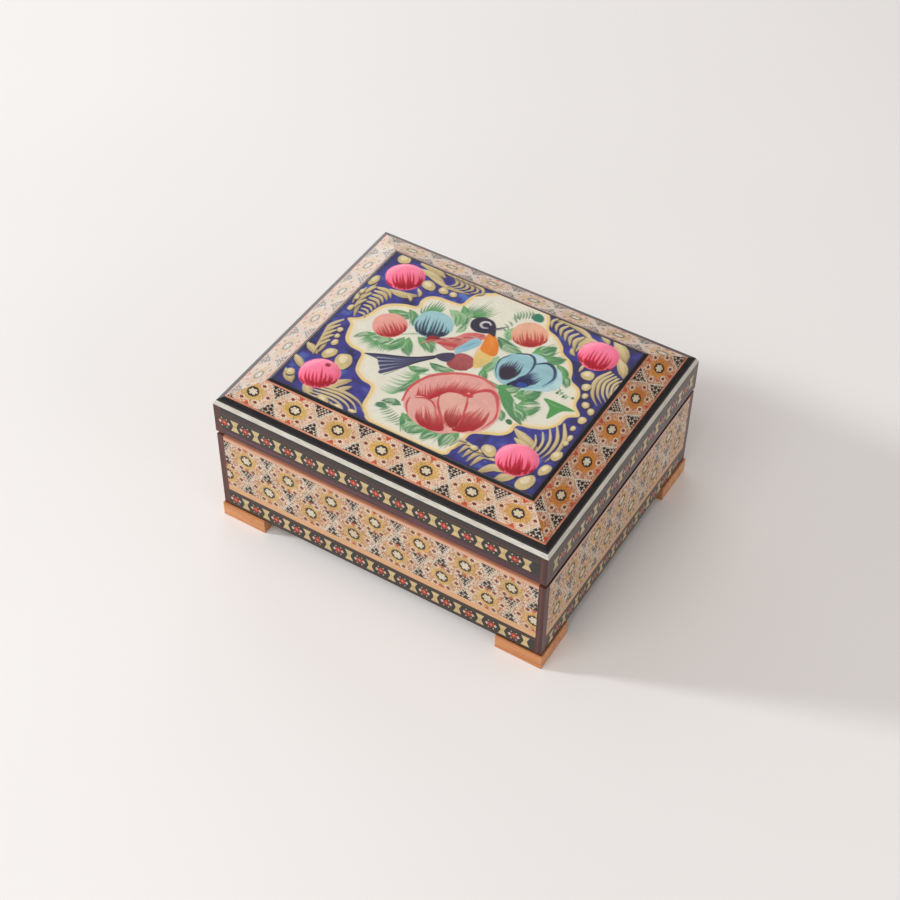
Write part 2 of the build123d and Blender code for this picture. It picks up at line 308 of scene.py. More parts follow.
def velvet():
    sheen = {"Sheen_Weight": 0.55, "Sheen_Roughness": 0.35, "Sheen_Tint": rgba(srgb(255, 150, 165))}
    look = Look("velvet", Specular_IOR_Level=0.15, **sheen)
    pile = look.noise(look.place(), 5.5, 3, 0.7)
    nap = look.noise(look.place(), 0.11, 4, 0.6, 1.2)
    colour = look.tones(nap, (0.3, 92, 8, 28), (0.55, 128, 16, 42), (0.75, 158, 34, 60))
    colour = look.mix(0.9, colour, look.greys(pile, (0.3, 0.62), (0.7, 1.0)), "MULTIPLY")
    dents = look.math("ADD", pile, look.math("MULTIPLY", nap, 1.5))
    return look.done(colour, (nap, 0.75, 0.95), (dents, 0.00022, 0.6))


def brass():
    look = Look("brass", Metallic=1.0)
    rub = look.noise(look.place((1, 0.12, 1)), 4.0, 4, 0.6)
    stain = look.noise(look.place(), 0.7, 4, 0.6, 0.6)
    colour = look.tones(stain, (0.3, 150, 108, 52), (0.55, 202, 160, 84), (0.8, 222, 186, 112))
    return look.done(colour, (look.math("ADD", rub, stain), 0.18, 0.42), (rub, 0.00003, 0.5))


# Dark, middle and light tone of each wood
FEET = ((176, 108, 60), (202, 134, 82), (220, 160, 108))
ROSE = ((42, 20, 20), (72, 34, 30), (108, 56, 46))
ROSE_EDGE = ((40, 18, 28), (68, 32, 44), (106, 56, 64))
# Inner walls and lid rails: a dark stain, made near black so that it also paints the shade in the gap
# under the lid
STAINED_GAP_SHADE = ((30, 12, 14), (46, 18, 20), (66, 28, 28))
CORE = ((176, 132, 84), (204, 162, 110), (222, 186, 136))
SLOPE_VENEER = ((150, 88, 66), (192, 126, 98), (214, 152, 120))

# Layers of the walls' veneers and of the two bands, from the lowest up
FIELD_LAYERS = [(0.4, (74, 50, 34)), (3.0, (222, 172, 126)), (23.2, (222, 178, 140)),
                (24.7, (224, 176, 144))]
# The front wall's top layer is light, a painted light, and the other walls' top layers go dark brown to
# near black, a painted shade, where the gap under the lid shows them
LIT_FRONT_TOP = [(26.4, (200, 134, 104))]
SHADED_OTHER_TOPS = [(24.95, (120, 62, 50)), (26.4, (30, 12, 16))]
BASE_BAND = [(0.8, (34, 31, 28)), (1.2, (84, 44, 36)), (6.4, (36, 35, 29)), (6.8, (78, 46, 38)),
             (7.6, (36, 33, 30))]
LID_BAND = [(0.4, (60, 28, 34)), (6.1, (40, 40, 35)), (7.0, (72, 42, 36)), (7.6, (38, 31, 28)),
            (8.1, (66, 39, 33)), (9.6, (34, 30, 28))]
FIELD_SEAM = (150, 100, 76)

rosewood_post = wood("rosewood_post", "z", ROSE, 1.5, 0.34, 0.25)
foot_wood = wood("foot_wood", "x", FEET, 1.1, 0.42, 0.25)
core = {axis: wood("core_wood_" + axis, axis, CORE, 0.9, 0.55, 0.0) for axis in "xy"}
inner = {axis: wood("stain_and_shade_wood_" + axis, axis, STAINED_GAP_SHADE, 0.9, 0.6, 0.0) for axis in "xy"}
rosewood_strip = wood("rosewood_x", "x", ROSE_EDGE, 1.5, 0.32, 0.3)
front_look = layered("front_veneer", field_bottom, FIELD_LAYERS + LIT_FRONT_TOP, FIELD_SEAM)
wall_look = layered("wall_veneer", field_bottom, FIELD_LAYERS + SHADED_OTHER_TOPS, FIELD_SEAM)
velvet_look = velvet()


def dress_frame():
    """Gives each CAD node that stays showing its material, by the start of its name."""
    looks = {
        "base_khatam_front": front_look, "base_khatam": wall_look, "bone": bone(),
        "base_band": layered("base_band", base_bottom, BASE_BAND),
        "lid_band": layered("lid_band", lid_rim_top, LID_BAND),
        "slope_khatam": wood("slope_veneer", "x", SLOPE_VENEER, 1.6, 0.3, 0.6),
        "slope_black": ebony(), "hinge": brass(), "foot": foot_wood, "base_post": rosewood_post,
        "lid_posts": rosewood_post, "lid_rim_strips": rosewood_strip, "painted": lacquer_panel(),
        "base_lining": velvet_look, "lid_lining": velvet_look, "base_wall": inner, "lid_rail": inner,
    }
    for name, node in nodes.items():
        look = next((looks[start] for start in looks if name.startswith(start)), core)
        if isinstance(look, dict):
            look = look["y" if name.endswith(("left", "right")) else "x"]
        node.data.materials.clear()
        node.data.materials.append(look)


dress_frame()


# Helpers for meshes


def mesh_piece(name, corners, faces, body, look):
    """A piece from corner points in metres and faces, riding on a body."""
    mesh = bpy.data.meshes.new(name)
    mesh.from_pydata([tuple(c) for c in corners], [], [tuple(map(int, f)) for f in faces])
    mesh.materials.append(look)
    mesh.validate()
    mesh.update()
    piece = bpy.data.objects.new(name, mesh)
    bpy.context.scene.collection.objects.link(piece)
    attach(piece, body)
    return piece


@contextmanager
def reworked(piece):
    """Opens a piece's mesh for changes, and writes them back."""
    work = bmesh.new()
    work.from_mesh(piece.data)
    yield work
    work.to_mesh(piece.data)
    work.free()


def smooth(piece):
    piece.data.polygons.foreach_set("use_smooth", [True] * len(piece.data.polygons))


# Star marquetry

# A flower's repeat is 4 * CELLS triangles long; the pattern counts them in twos, along and up
CELLS = 7
WALL_PERIOD = 16.26

# Where the parts of the pattern end, from a flower's or a dot's middle
HEART_END, HEART_NOTCH, RING_END = 1.2, 0.16, 1.94
DOT_END, HALO_END, RIM_WIDTH, GROUND_END = 0.7, 1.2, 0.7, 5.4

# What differs between walls and slopes: rows on each side of the middle, half the strip's width,
# a flower's height over its width, where the pale line starts and ends, where the wedges start,
# where the field ends, the places of the brown dots, the body and the material
Pattern = namedtuple("Pattern", "rows half_width squash line_start line_end wedge field dots body look")


def dots_at(x, row, end):
    """Six dots round a flower: four corners and two ends."""
    return [(a, b) for a in (-x, x) for b in (-row, row)] + [(-end, 0), (end, 0)]


wall_inlay, slope_inlay = inlay_material("wall_inlay", 0.35), inlay_material("slope_inlay", 0.7)
WALL_STARS = Pattern(10, 5.1, 0.866, 6.7, 7.25, 3.4, 3.4, dots_at(2, 4, 4.5), "base", wall_inlay)
SLOPE_STARS = Pattern(14, 4.6, 0.8, 6.9, 7.5, 5.2, 4.3, dots_at(2.25, 4.5, 5), "lid", slope_inlay)

# Veneer colours by the part of the pattern; a piece takes one of its kind at random
MARQUETRY = {
    "heart": ((232, 224, 202), (224, 214, 188)),
    "ring": ((38, 32, 22), (52, 42, 28)),
    "field": ((218, 182, 108), (222, 188, 120), (206, 160, 88)),
    "rim": ((226, 196, 136), (218, 180, 112)),
    "dot": ((124, 62, 42), (144, 74, 46)),
    "halo": ((236, 224, 208), (232, 204, 180)),
    "ground": ((218, 180, 132), (208, 162, 116), (230, 206, 172), (186, 120, 84)),
    "outer": ((228, 208, 184), (234, 222, 206), (214, 176, 142), (172, 102, 74)),
    "wedge": ((196, 96, 54), (186, 86, 48)),
    "line": ((224, 220, 206), (214, 208, 194)),
    "dark": ((34, 25, 25), (48, 33, 31), (30, 25, 24)),
    "pale": ((212, 200, 184), (198, 182, 166)),
}
SLOPE_TONES = {
    **MARQUETRY,
    "dot": ((118, 44, 34), (134, 64, 46)),
    "ground": ((228, 202, 174), (222, 184, 150), (232, 214, 192), (204, 136, 102)),
    "outer": ((228, 214, 194), (230, 204, 184), (214, 164, 132)),
    "wedge": ((208, 86, 50), (196, 74, 44)),
}
# The right slope's tones are darker and more orange: partly the veneer's own tone, partly painted shade
# for the side the key light misses
SHADED_RIGHT_TONES = {
    **SLOPE_TONES,
    "field": ((208, 136, 54), (202, 124, 44), (214, 150, 70)),
    "rim": ((218, 166, 90), (208, 138, 62)),
    "ground": ((208, 154, 110), (198, 134, 90), (220, 190, 158), (188, 102, 70)),
    "outer": ((212, 182, 152), (200, 144, 108), (222, 202, 180), (182, 98, 74)),
}
# The left slope's tones are darker and flatter: partly the veneer's own tone, partly painted shade that
# holds down the key light falling on it
SHADED_LEFT_TONES = {
    **MARQUETRY,
    "heart": ((190, 180, 156), (184, 172, 146)),
    "field": ((184, 154, 100), (186, 160, 110), (174, 140, 88)),
    "rim": ((190, 168, 122), (184, 156, 104)),
    "halo": ((192, 178, 162), (192, 166, 144)),
    "dot": ((118, 60, 46), (130, 76, 56)),
    "ground": ((188, 166, 142), (182, 152, 124), (192, 176, 158), (170, 118, 90)),
    "outer": ((188, 176, 160), (188, 168, 152), (178, 138, 112)),
    "wedge": ((176, 84, 52), (164, 74, 46)),
    "line": ((182, 175, 158), (174, 168, 152)),
    "pale": ((176, 162, 147), (166, 150, 134)),
}


def hexagon_norm(x, row):
    """Distance from a hexagon's middle, the same all along each ring of triangles."""
    return max(abs(row), abs(x) + abs(row) / 2)


def star_kind(x, row, pattern):
    """The part of the pattern at a point, measured from a flower's middle."""
    slant = abs(x) + abs(row) / 2
    if slant >= pattern.line_end:
        left = x - row / 2
        ia, ib = math.floor(left), math.floor(row)
        up = (left - ia) + (row - ib) < 1
        return "dark" if up == (row < 0) or (ia * 2 + ib) % 5 == 0 else "pale"
    if slant >= pattern.line_start:
        return "line"
    far = math.hypot(x, row * pattern.squash)
    notch = HEART_NOTCH * math.cos(6 * math.atan2(row, x))
    if far < HEART_END + notch:
        return "heart"
    if far < RING_END:
        return "ring"
    if abs(x) < (abs(row) - pattern.wedge) / 2:
        return "wedge"
    for dot_x, dot_row in pattern.dots:
        away = hexagon_norm(x - dot_x, row - dot_row)
        if away < HALO_END:
            return "dot" if away < DOT_END else "halo"
    ring = hexagon_norm(x, row)
    if ring < pattern.field:
        return "rim" if ring > pattern.field - RIM_WIDTH and (x + row) % 1 < 0.5 else "field"
    return "ground" if slant < GROUND_END else "outer"


def plane_sheet(origin, along, up, u, v, lift=0.02):
    """A point of an inlaid sheet, a hair above its veneer."""
    normal = along.cross(up)
    return (origin + along * u + up * v + normal * lift) * MM


def star_strip(name, pattern, place, half_run, stars, cuts, tones):
    """One strip of star marquetry; stars is its flowers' spacing and the middle one's place."""
    period, shift = stars
    side, rise = period / (4 * CELLS), pattern.half_width / pattern.rows
    first = math.floor((-half_run - shift) / side) - 2
    last = math.ceil((half_run - shift) / side) + 2
    palette = {kind: [srgb(*tone) for tone in tones[kind]] for kind in MARQUETRY}
    corners, faces, colours, spots = [], [], [], []
    index, age = {}, {}

    def corner(i, j):
        if (i, j) not in index:
            index[i, j] = len(corners)
            corners.append(plane_sheet(*place, shift + (i + j / 2) * side, j * rise))
        return index[i, j]

    for j in range(-pattern.rows, pattern.rows):
        for i in range(first - (j + 1) // 2, last - (j + 1) // 2):
            for trio in (((i, j), (i + 1, j), (i, j + 1)), ((i + 1, j), (i + 1, j + 1), (i, j + 1))):
                x = sum(a + b / 2 for a, b in trio) / 6
                row = sum(b for _, b in trio) / 6
                flower = round(x / (2 * CELLS))
                if flower not in age:
                    age[flower] = chance.uniform(0.9, 1.05), chance.uniform(0.9, 1.03)
                kind = star_kind(x - 2 * CELLS * flower, row, pattern)
                tone = palette[kind][int(chance.rand() * len(palette[kind]))]
                if kind in ("field", "rim"):
                    warm, tilt = age[flower]
                    tone = tuple(c * f for c, f in zip(tone, (warm, warm * tilt, warm * tilt**2)))
                faces.append([corner(*spot) for spot in trio])
                colours.append(tone)
                spots.append([(a / 2, b / 2) for a, b in trio])
    piece = mesh_piece(name, corners, faces, pattern.body, pattern.look)
    colour_faces(piece, colours, spots)
    with reworked(piece) as work:
        for point, way in cuts:
            everything = work.verts[:] + work.edges[:] + work.faces[:]
            bmesh.ops.bisect_plane(
                work, geom=everything, plane_co=point * MM, plane_no=way, clear_outer=True
            )


def colour_faces(piece, tones, spots):
    """Gives each face its own colour, and its corners their place in the lattice."""
    mesh = piece.data
    paint = mesh.attributes.new("inlay", "FLOAT_COLOR", "CORNER")
    lattice = mesh.uv_layers.new(name="lattice")
    colours, places = [], []
    for tone, trio in zip(tones, spots):
        freckle = chance.uniform(0.9, 1.06)
        for spot in trio:
            colours.extend((*(c * freckle for c in tone), 1.0))
            places.extend(spot)
    paint.data.foreach_set("color", colours)
    lattice.data.foreach_set("uv", places)


# The two rows of a wall: height of the middle, and place of the middle flower
WALL_ROWS = ((18.3, -0.3), (8.1, WALL_PERIOD / 2 - 0.3))

# Each slope's flowers: their spacing, and the place of the middle one
SLOPE_ROWS = {"front": (15.83, -2.1), "back": (15.7, -3.1), "left": (15.5, 3.6), "right": (15.9, 3.0)}


def wall_stars(side, out, along):
    length, width = side_sizes(along, base_length, base_width)
    stop = length / 2 - post_size
    ends = [(along * stop, along), (along * -stop, -along)]
    for row, (height, shift) in enumerate(WALL_ROWS):
        middle = out * (width / 2) + Vector((0, 0, field_bottom + height))
        star_strip(
            f"wall_inlay_{side}_{row}", WALL_STARS, (middle, along, UP), stop,
            (WALL_PERIOD, shift), ends, MARQUETRY,
        )


def slope_stars(side, out, along):
    run, across = side_sizes(along, lid_length, lid_width)
    inset = (khatam_start + khatam_end) / 2
    drop = ((lid_length - panel_length) / 2 - inset) * math.tan(slope_angle)
    uphill = -out * math.cos(slope_angle) + Vector((0, 0, math.sin(slope_angle)))
    middle = out * (across / 2 - inset) + Vector((0, 0, panel_top - drop))
    mitres = [
        (out * (across / 2) + along * (run / 2 * way), (along * way - out).normalized())
        for way in (1, -1)
    ]
    star_strip(
        f"slope_inlay_{side}", SLOPE_STARS, (middle, along, uphill), run / 2 - khatam_start,
        SLOPE_ROWS[side], mitres, {"right": SHADED_RIGHT_TONES, "left": SHADED_LEFT_TONES}.get(side, SLOPE_TONES),
    )


for side, ways in SIDES.items():
    wall_stars(side, *ways)
    slope_stars(side, *ways)


# Flower bands

BAND_PERIOD, BAND_MARGIN = 8.1, 1.3
BAND_RED, BAND_ORANGE = srgb(192, 48, 36), srgb(238, 150, 92)
BAND_CREAM, BAND_GOLD = srgb(218, 196, 144), srgb(206, 164, 96)
BAND_WHITE = srgb(224, 196, 184)

# How far a motif's first shape stands above the veneer, and its second and third above that
BAND_LIFT, SHAPE_LIFT = 0.015, 0.006

# Cells of the veneers' seam pattern in a millimetre of band
BAND_SEAMS = 1.1

# Each body's bands: its length and width, the height of their middle line, their motifs' scale
# across and up, and the middle motif's place
BANDS = (
    ("base", base_length, base_width, base_bottom + 3.7, (0.95, 0.9), 1.5),
    ("lid", lid_length, lid_width, lid_rim_top + 3.2, (1.0, 0.92), 0.5),
)


def star_points(half_wide, half_high):
    """A six-pointed star, its tips up, down and to the four corners."""
    points = []
    for k in range(12):
        turn, far = math.radians(30 * k), 1.0 if k % 2 else 1 / math.sqrt(3)
        points.append((math.cos(turn) * far * half_wide, math.sin(turn) * far * half_high))
    return points


def lozenge(x, y, half_wide, half_high):
    return [(x + half_wide, y), (x, y + half_high), (x - half_wide, y), (x, y - half_high)]


def hourglass(scale):
    """Outlines and colours of a cream hourglass with a gold heart, about its middle."""
    wide, high = 1.6 * scale[0], 2.5 * scale[1]
    waist, flat = wide * 0.42, high * 0.14
    outline = [(-wide, high), (-waist, flat), (-waist, -flat), (-wide, -high),
               (wide, -high), (waist, -flat), (waist, flat), (wide, high)]
    heart = [(0, high * 0.3), (-wide * 0.2, 0), (0, -high * 0.3), (wide * 0.2, 0)]
    return [(outline, BAND_CREAM), (heart, BAND_GOLD)]


def red_flower(scale):
    """Outlines and colours of a red star with leaves round it, about its middle."""
    wide, high = scale
    leaf_wide, leaf_high, bead = 0.6, 0.78, 0.34
    shapes = [(star_points(1.5 * wide, 1.75 * high), BAND_RED)]
    for way in (-1, 1):
        shapes.append((lozenge(way * 1.62 * wide, 0, leaf_wide, leaf_high), BAND_WHITE))
    for sx in (-1, 1):
        for sy in (-1, 1):
            shapes.append((lozenge(sx * 0.95 * wide, sy * 1.75 * high, bead, bead), BAND_CREAM))
    shapes.append((star_points(0.45, 0.5), BAND_ORANGE))
    return shapes


def flower_band(name, body, origin, along, half_run, scale, shift):
    """A row of red flowers and cream hourglasses set into a dark band."""
    corners, faces, tones, spots = [], [], [], []
    count = int(half_run / BAND_PERIOD * 2) + 3
    for k in range(-count, count + 1):
        centre = shift + k * BAND_PERIOD / 2
        if abs(centre) > half_run - BAND_MARGIN:
            continue
        for depth, (outline, tone) in enumerate(hourglass(scale) if k % 2 else red_flower(scale)):
            lift = BAND_LIFT + SHAPE_LIFT * min(depth, 2)
            start, size = len(corners), len(outline)
            hub = tuple(sum(point[axis] for point in outline) / size for axis in (0, 1))
            for u, v in [*outline, hub]:
                corners.append(plane_sheet(origin, along, UP, centre + u, v, lift))
            for m in range(size):
                trio = (start + m, start + (m + 1) % size, start + size)
                faces.append(trio)
                tones.append(tone)
                places = ((corners[t].dot(along), corners[t].z) for t in trio)
                spots.append([(u / MM * BAND_SEAMS, v / MM * BAND_SEAMS) for u, v in places])
    piece = mesh_piece(name, corners, faces, body, wall_inlay)
    colour_faces(piece, tones, spots)
    outward = along.cross(UP)
    with reworked(piece) as work:
        for face in work.faces:
            if face.normal.dot(outward) < 0:
                face.normal_flip()


for side, (out, along) in SIDES.items():
    for body, length, width, height, scale, shift in BANDS:
        run, across = side_sizes(along, length, width)
        place = out * (across / 2) + Vector((0, 0, height))
        flower_band(f"{body}_flowers_{side}", body, place, along, run / 2 - post_size, scale, shift)


# The painting, drawn on a sheet of cells in units of its own, with y running down

PANEL_EDGE, CELL = 0.3, 0.1
PAINT_LENGTH, PAINT_WIDTH = panel_length - 2 * PANEL_EDGE, panel_width - 2 * PANEL_EDGE
WIDE, HIGH = round(PAINT_LENGTH / CELL), round(PAINT_WIDTH / CELL)

# Sheet units in a millimetre, the panel's middle in them, and about where the sheet ends
UNIT = 14 / 1.2
MIDDLE_X, MIDDLE_Y = 702.7, 577.8
SHEET_END = 1240
SHEET_X = MIDDLE_X - WIDE * CELL / 2 * UNIT + (np.arange(WIDE) + 0.5) * CELL * UNIT
SHEET_Y = MIDDLE_Y - HIGH * CELL / 2 * UNIT + (np.arange(HIGH) + 0.5) * CELL * UNIT
ink = np.zeros((HIGH, WIDE, 3))
relief = np.zeros((HIGH, WIDE))


def ease(t):
    return t * t * (3 - 2 * t)


def speckle(place, cell, seed):
    """Soft random blotches from 0 to 1, about cell sheet units across."""
    count = int(SHEET_END / cell) + 3
    grid = np.random.RandomState(seed).rand(count, count)
    fy, fx = (np.abs(axis) / cell % (count - 2) for axis in place)
    iy, ix = fy.astype(int), fx.astype(int)
    ty, tx = ease(fy - iy), ease(fx - ix)
    low = grid[iy, ix] * (1 - tx) + grid[iy, ix + 1] * tx
    high = grid[iy + 1, ix] * (1 - tx) + grid[iy + 1, ix + 1] * tx
    return low * (1 - ty) + high * ty


def curve(points, closed=False, steps=6):
    """A smooth line through given points."""
    p = np.array(points, float)
    n = len(p)
    if n == 2 and not closed:
        return p
    out = []
    for k in range(n if closed else n - 1):
        reach = range(k - 1, k + 3)
        a, b, c, d = (p[m % n] if closed else p[min(max(m, 0), n - 1)] for m in reach)
        for t in np.arange(steps) / steps:
            out.append(
                0.5 * (2 * b + (c - a) * t + (2 * a - 5 * b + 4 * c - d) * t**2
                       + (3 * b - a - 3 * c + d) * t**3)
            )
    if not closed:
        out.append(p[-1])
    return np.array(out)


def window(line, margin):
    """The part of the sheet near a line: its slices and the places of its cells."""
    x0, y0 = line.min(0) - margin
    x1, y1 = line.max(0) + margin
    cols = slice(*np.searchsorted(SHEET_X, (x0, x1)))
    rows = slice(*np.searchsorted(SHEET_Y, (y0, y1)))
    return (rows, cols), *np.meshgrid(SHEET_X[cols], SHEET_Y[rows])


def follow(line, gx, gy):
    """For each cell: how far the line is, how far along it (0 to 1), and on which side."""
    best = np.full(gx.shape, 1e9)
    where, side = np.zeros(gx.shape), np.zeros(gx.shape)
    steps = np.hypot(*np.diff(line, axis=0).T)
    total, done = max(steps.sum(), 1e-6), 0.0
    for (x0, y0), (x1, y1), step in zip(line[:-1], line[1:], steps):
        if step < 1e-6:
            continue
        dx, dy = (x1 - x0) / step, (y1 - y0) / step
        s = np.clip((gx - x0) * dx + (gy - y0) * dy, 0, step)
        away = np.hypot(gx - x0 - s * dx, gy - y0 - s * dy)
        nearer = away < best
        best = np.where(nearer, away, best)
        where = np.where(nearer, (done + s) / total, where)
        side = np.where(nearer, (gx - x0) * dy - (gy - y0) * dx, side)
        done += step
    return best, where, side


def step_up(value, low, high):
    """Rises smoothly from 0 at low to 1 at high."""
    return ease(np.clip((value - low) / (high - low), 0, 1))


def lay(spot, cover, colour, lift=0.0):
    """Lays paint on the sheet where cover is above 0."""
    cover = cover[..., None]
    ink[spot] = ink[spot] * (1 - cover) + colour * cover
    relief[spot] += cover[..., 0] * lift


# Sizes of the broad and the fine unevenness of laid paint
BROAD_MOTTLE, FINE_MOTTLE = 26, 7


def paint_fill(points, colour, soft=1.6, lift=0.01, mottle=0.08, seed=1):
    """Fills a closed outline with slightly uneven paint."""
    line = curve(points, True)
    ring = np.vstack([line, line[:1]])
    spot, gx, gy = window(ring, soft * 2)
    inside = np.zeros(gx.shape, bool)
    for (x0, y0), (x1, y1) in zip(ring[:-1], ring[1:]):
        if y0 != y1:
            crossed = (y0 > gy) != (y1 > gy)
            inside ^= crossed & (gx < (x1 - x0) * (gy - y0) / (y1 - y0) + x0)
    away = follow(ring, gx, gy)[0]
    cover = step_up(np.where(inside, away, -away), -soft, soft)
    uneven = 1 + mottle * (speckle((gy, gx), BROAD_MOTTLE, seed) - 0.5)
    uneven = uneven + mottle * (speckle((gy, gx), FINE_MOTTLE, seed + 1) - 0.5)
    lay(spot, cover, np.array(srgb(*colour)) * uneven[..., None], lift)
    return spot, gx, gy, cover


# A brush stroke's soft edge, and its bristle marks: how fine across and along, and their size
STROKE_EDGE = 0.65
BRISTLES_ACROSS, BRISTLES_ALONG, BRISTLE_SIZE, BRISTLE_SHIFT = 3.1, 40, 6.0, 400

# How wide a stroke is along its way, as shares of its full width
TAPER = (0.35, 0.85, 1.0, 0.7, 0.06)
ROUND = (0.2, 0.8, 1.0, 0.95, 0.6, 0.1)
SCROLL = (0.3, 0.9, 1.0, 0.8, 0.15)
FINGER = (0.5, 0.95, 1.0, 0.7, 0.15)
FRINGE = (0.9, 1.0, 0.75, 0.4, 0.05)
BUD_STROKE = (0.8, 1.0, 0.8, 0.45, 0.05)


def paint_stroke(points, width, colour, tail=None, shape=TAPER, dry=0.1, solid=1.0, lift=0.014):
    """One brush stroke: it swells and thins by shape, and its bristles part towards its tail."""
    line = curve(points)
    spot, gx, gy = window(line, width)
    if gx.size == 0:
        return
    away, where, side = follow(line, gx, gy)
    half = width / 2 * np.interp(where, np.linspace(0, 1, len(shape)), shape)
    cover = step_up(half - away, -STROKE_EDGE, STROKE_EDGE)
    seed = int(abs(points[0][0]) * 7 + abs(points[0][1]) * 13) % 9973
    bristles = (side * BRISTLES_ACROSS + BRISTLE_SHIFT, where * BRISTLES_ALONG)
    hair = speckle(bristles, BRISTLE_SIZE, seed)
    cover = cover * np.clip(1 - dry * where * step_up(hair, 0.45, 0.85) * 1.6, 0, 1) * solid
    start, end = (np.array(srgb(*tone)) for tone in (colour, tail or colour))
    blend = np.clip(where**1.6 + 0.25 * (hair - 0.5), 0, 1)[..., None]
    tone = start * (1 - blend) + end * blend
    lay(spot, cover, tone * (0.94 + 0.12 * hair[..., None]), lift)


def spot_on(line, share):
    """The point a share of the way along a line of points."""
    steps = np.arange(len(line))
    return [np.interp(share * (len(line) - 1), steps, line[:, axis]) for axis in (0, 1)]


def fan(feet, tips, count, width, dark, tail, short=0.3, bulge=0.12):
    """Tapering strokes from a line of feet to a line of tips, each cut short by chance."""
    start, end = curve(feet), curve(tips)
    for k in range(count):
        share = (k + 0.5) / count
        (x0, y0), (x1, y1) = spot_on(start, share), spot_on(end, share)
        reach = 1 - short * chance.rand()
        dx, dy = (x1 - x0) * reach, (y1 - y0) * reach
        bend = bulge * (share - 0.5) * 2
        middle = (x0 + dx / 2 - dy * bend, y0 + dy / 2 + dx * bend)
        fat = width * chance.uniform(0.8, 1.2)
        paint_stroke([(x0, y0), middle, (x0 + dx, y0 + dy)], fat, dark, tail, FRINGE, 0.1, 0.95)


def ellipse(x, y, rx, ry, turn=0.0, count=14, wobble=0.04):
    """Points round an ellipse that is a little uneven, as a brush makes it."""
    c, s = math.cos(math.radians(turn)), math.sin(math.radians(turn))
    points = []
    for k in range(count):
        a = 2 * math.pi * k / count
        far = 1 + wobble * math.sin(a * 3 + x) + wobble * 0.6 * math.cos(a * 5 + y)
        px, py = rx * far * math.cos(a), ry * far * math.sin(a)
        points.append((x + px * c - py * s, y + px * s + py * c))
    return points


def blot(x, y, rx, ry, colour, soft, lift, turn=0.0):
    """A small filled ellipse."""
    paint_fill(ellipse(x, y, rx, ry, turn), colour, soft, lift)


def shade_disc(x, y, r, colour, towards, strength):
    """Lets a second colour grow across a round bud towards one side."""
    spot, gx, gy = window(np.array(ellipse(x, y, r, r)), 4)
    a = math.radians(towards)
    across = ((gx - x) * math.cos(a) + (gy - y) * math.sin(a)) / r
    disc = step_up(r - np.hypot(gx - x, gy - y), -1.5, 2.5)
    lay(spot, disc * strength * step_up(across, -0.55, 1.0), np.array(srgb(*colour)))


def bud(x, y, r, tones, root, count, reach, width):
    """A round bud: a pale ball with dark strokes that rise and fan out from its root."""
    pale, mid, dark, tail = tones
    paint_fill(ellipse(x, y, r, r, 0, 16, 0.015), pale, 1.4, 0.03)
    shade_disc(x, y, r, mid, root, 0.8)
    turn = math.radians(root)

    def at(across, down):
        return (x + r * (down * math.cos(turn) - across * math.sin(turn)),
                y + r * (down * math.sin(turn) + across * math.cos(turn)))

    rows = ((count, 0.74, 0.9, reach, 1.0), (count - 4, 0.45, 0.5, -0.25, 1.5))
    for strokes, foot_wide, tip_wide, high, fat in rows:
        for k in range(strokes):
            share = (k + 0.5) / strokes * 2 - 1 + 0.12 * (chance.rand() - 0.5)
            low = 0.9 - 0.26 * share**2
            top = -high + 0.55 * share**2 + 0.45 * (chance.rand() - 0.5)
            foot, tip = at(foot_wide * share, low), at(tip_wide * share, top)
            middle = at((foot_wide * 0.6 + tip_wide * 0.55) * share, (low + top) / 2)
            brush = width * fat * chance.uniform(0.8, 1.2)
            paint_stroke([foot, middle, tip], brush, dark, tail, BUD_STROKE, 0.1, 0.94, 0.012)


GOLD, GOLD_DARK, GOLD_PALE = (204, 184, 132), (168, 146, 102), (228, 214, 176)
UNDER_GOLD = (44, 36, 78)
LEAF, LEAF_DARK, LEAF_PALE = (84, 152, 88), (46, 112, 76), (150, 190, 142)
LEAF_EDGE, LEAF_LIGHT = (196, 214, 186), (206, 218, 192)
GREEN, PALE, DARK, DARKEST = (
    (LEAF, LEAF_DARK), (LEAF_PALE, LEAF), (LEAF_DARK, LEAF), (LEAF_DARK, LEAF_DARK)
)
BROAD_STROKE = 12


def gold_stroke(points, width, shape=SCROLL):
    """A stroke of gold scrollwork with a paler upper edge and a darker foot."""
    under = [(x + 3, y + 4) for x, y in points]
    paint_stroke(under, width + 5, UNDER_GOLD, UNDER_GOLD, shape, 0.1, 0.75, 0.0)
    tail = GOLD_DARK if width > BROAD_STROKE else GOLD
    paint_stroke(points, width, GOLD, tail, shape, 0.12, 1.0, 0.03)
    shifted = [(x - width * 0.14, y - width * 0.16) for x, y in points]
    paint_stroke(shifted, width * 0.42, GOLD_PALE, GOLD, shape, 0.3, 0.55, 0.006)


def gold_blob(x, y, rx, ry, turn):
    paint_fill(ellipse(x + 3, y + 4, rx + 2, ry + 2, turn), UNDER_GOLD, 3.0, 0.0, 0.1)
    paint_fill(ellipse(x, y, rx, ry, turn), GOLD, 1.5, 0.035, 0.16, int(x))
    paint_fill(ellipse(x - rx * 0.2, y - ry * 0.22, rx * 0.5, ry * 0.5, turn), GOLD_PALE, 4.0, 0.0, 0.1)


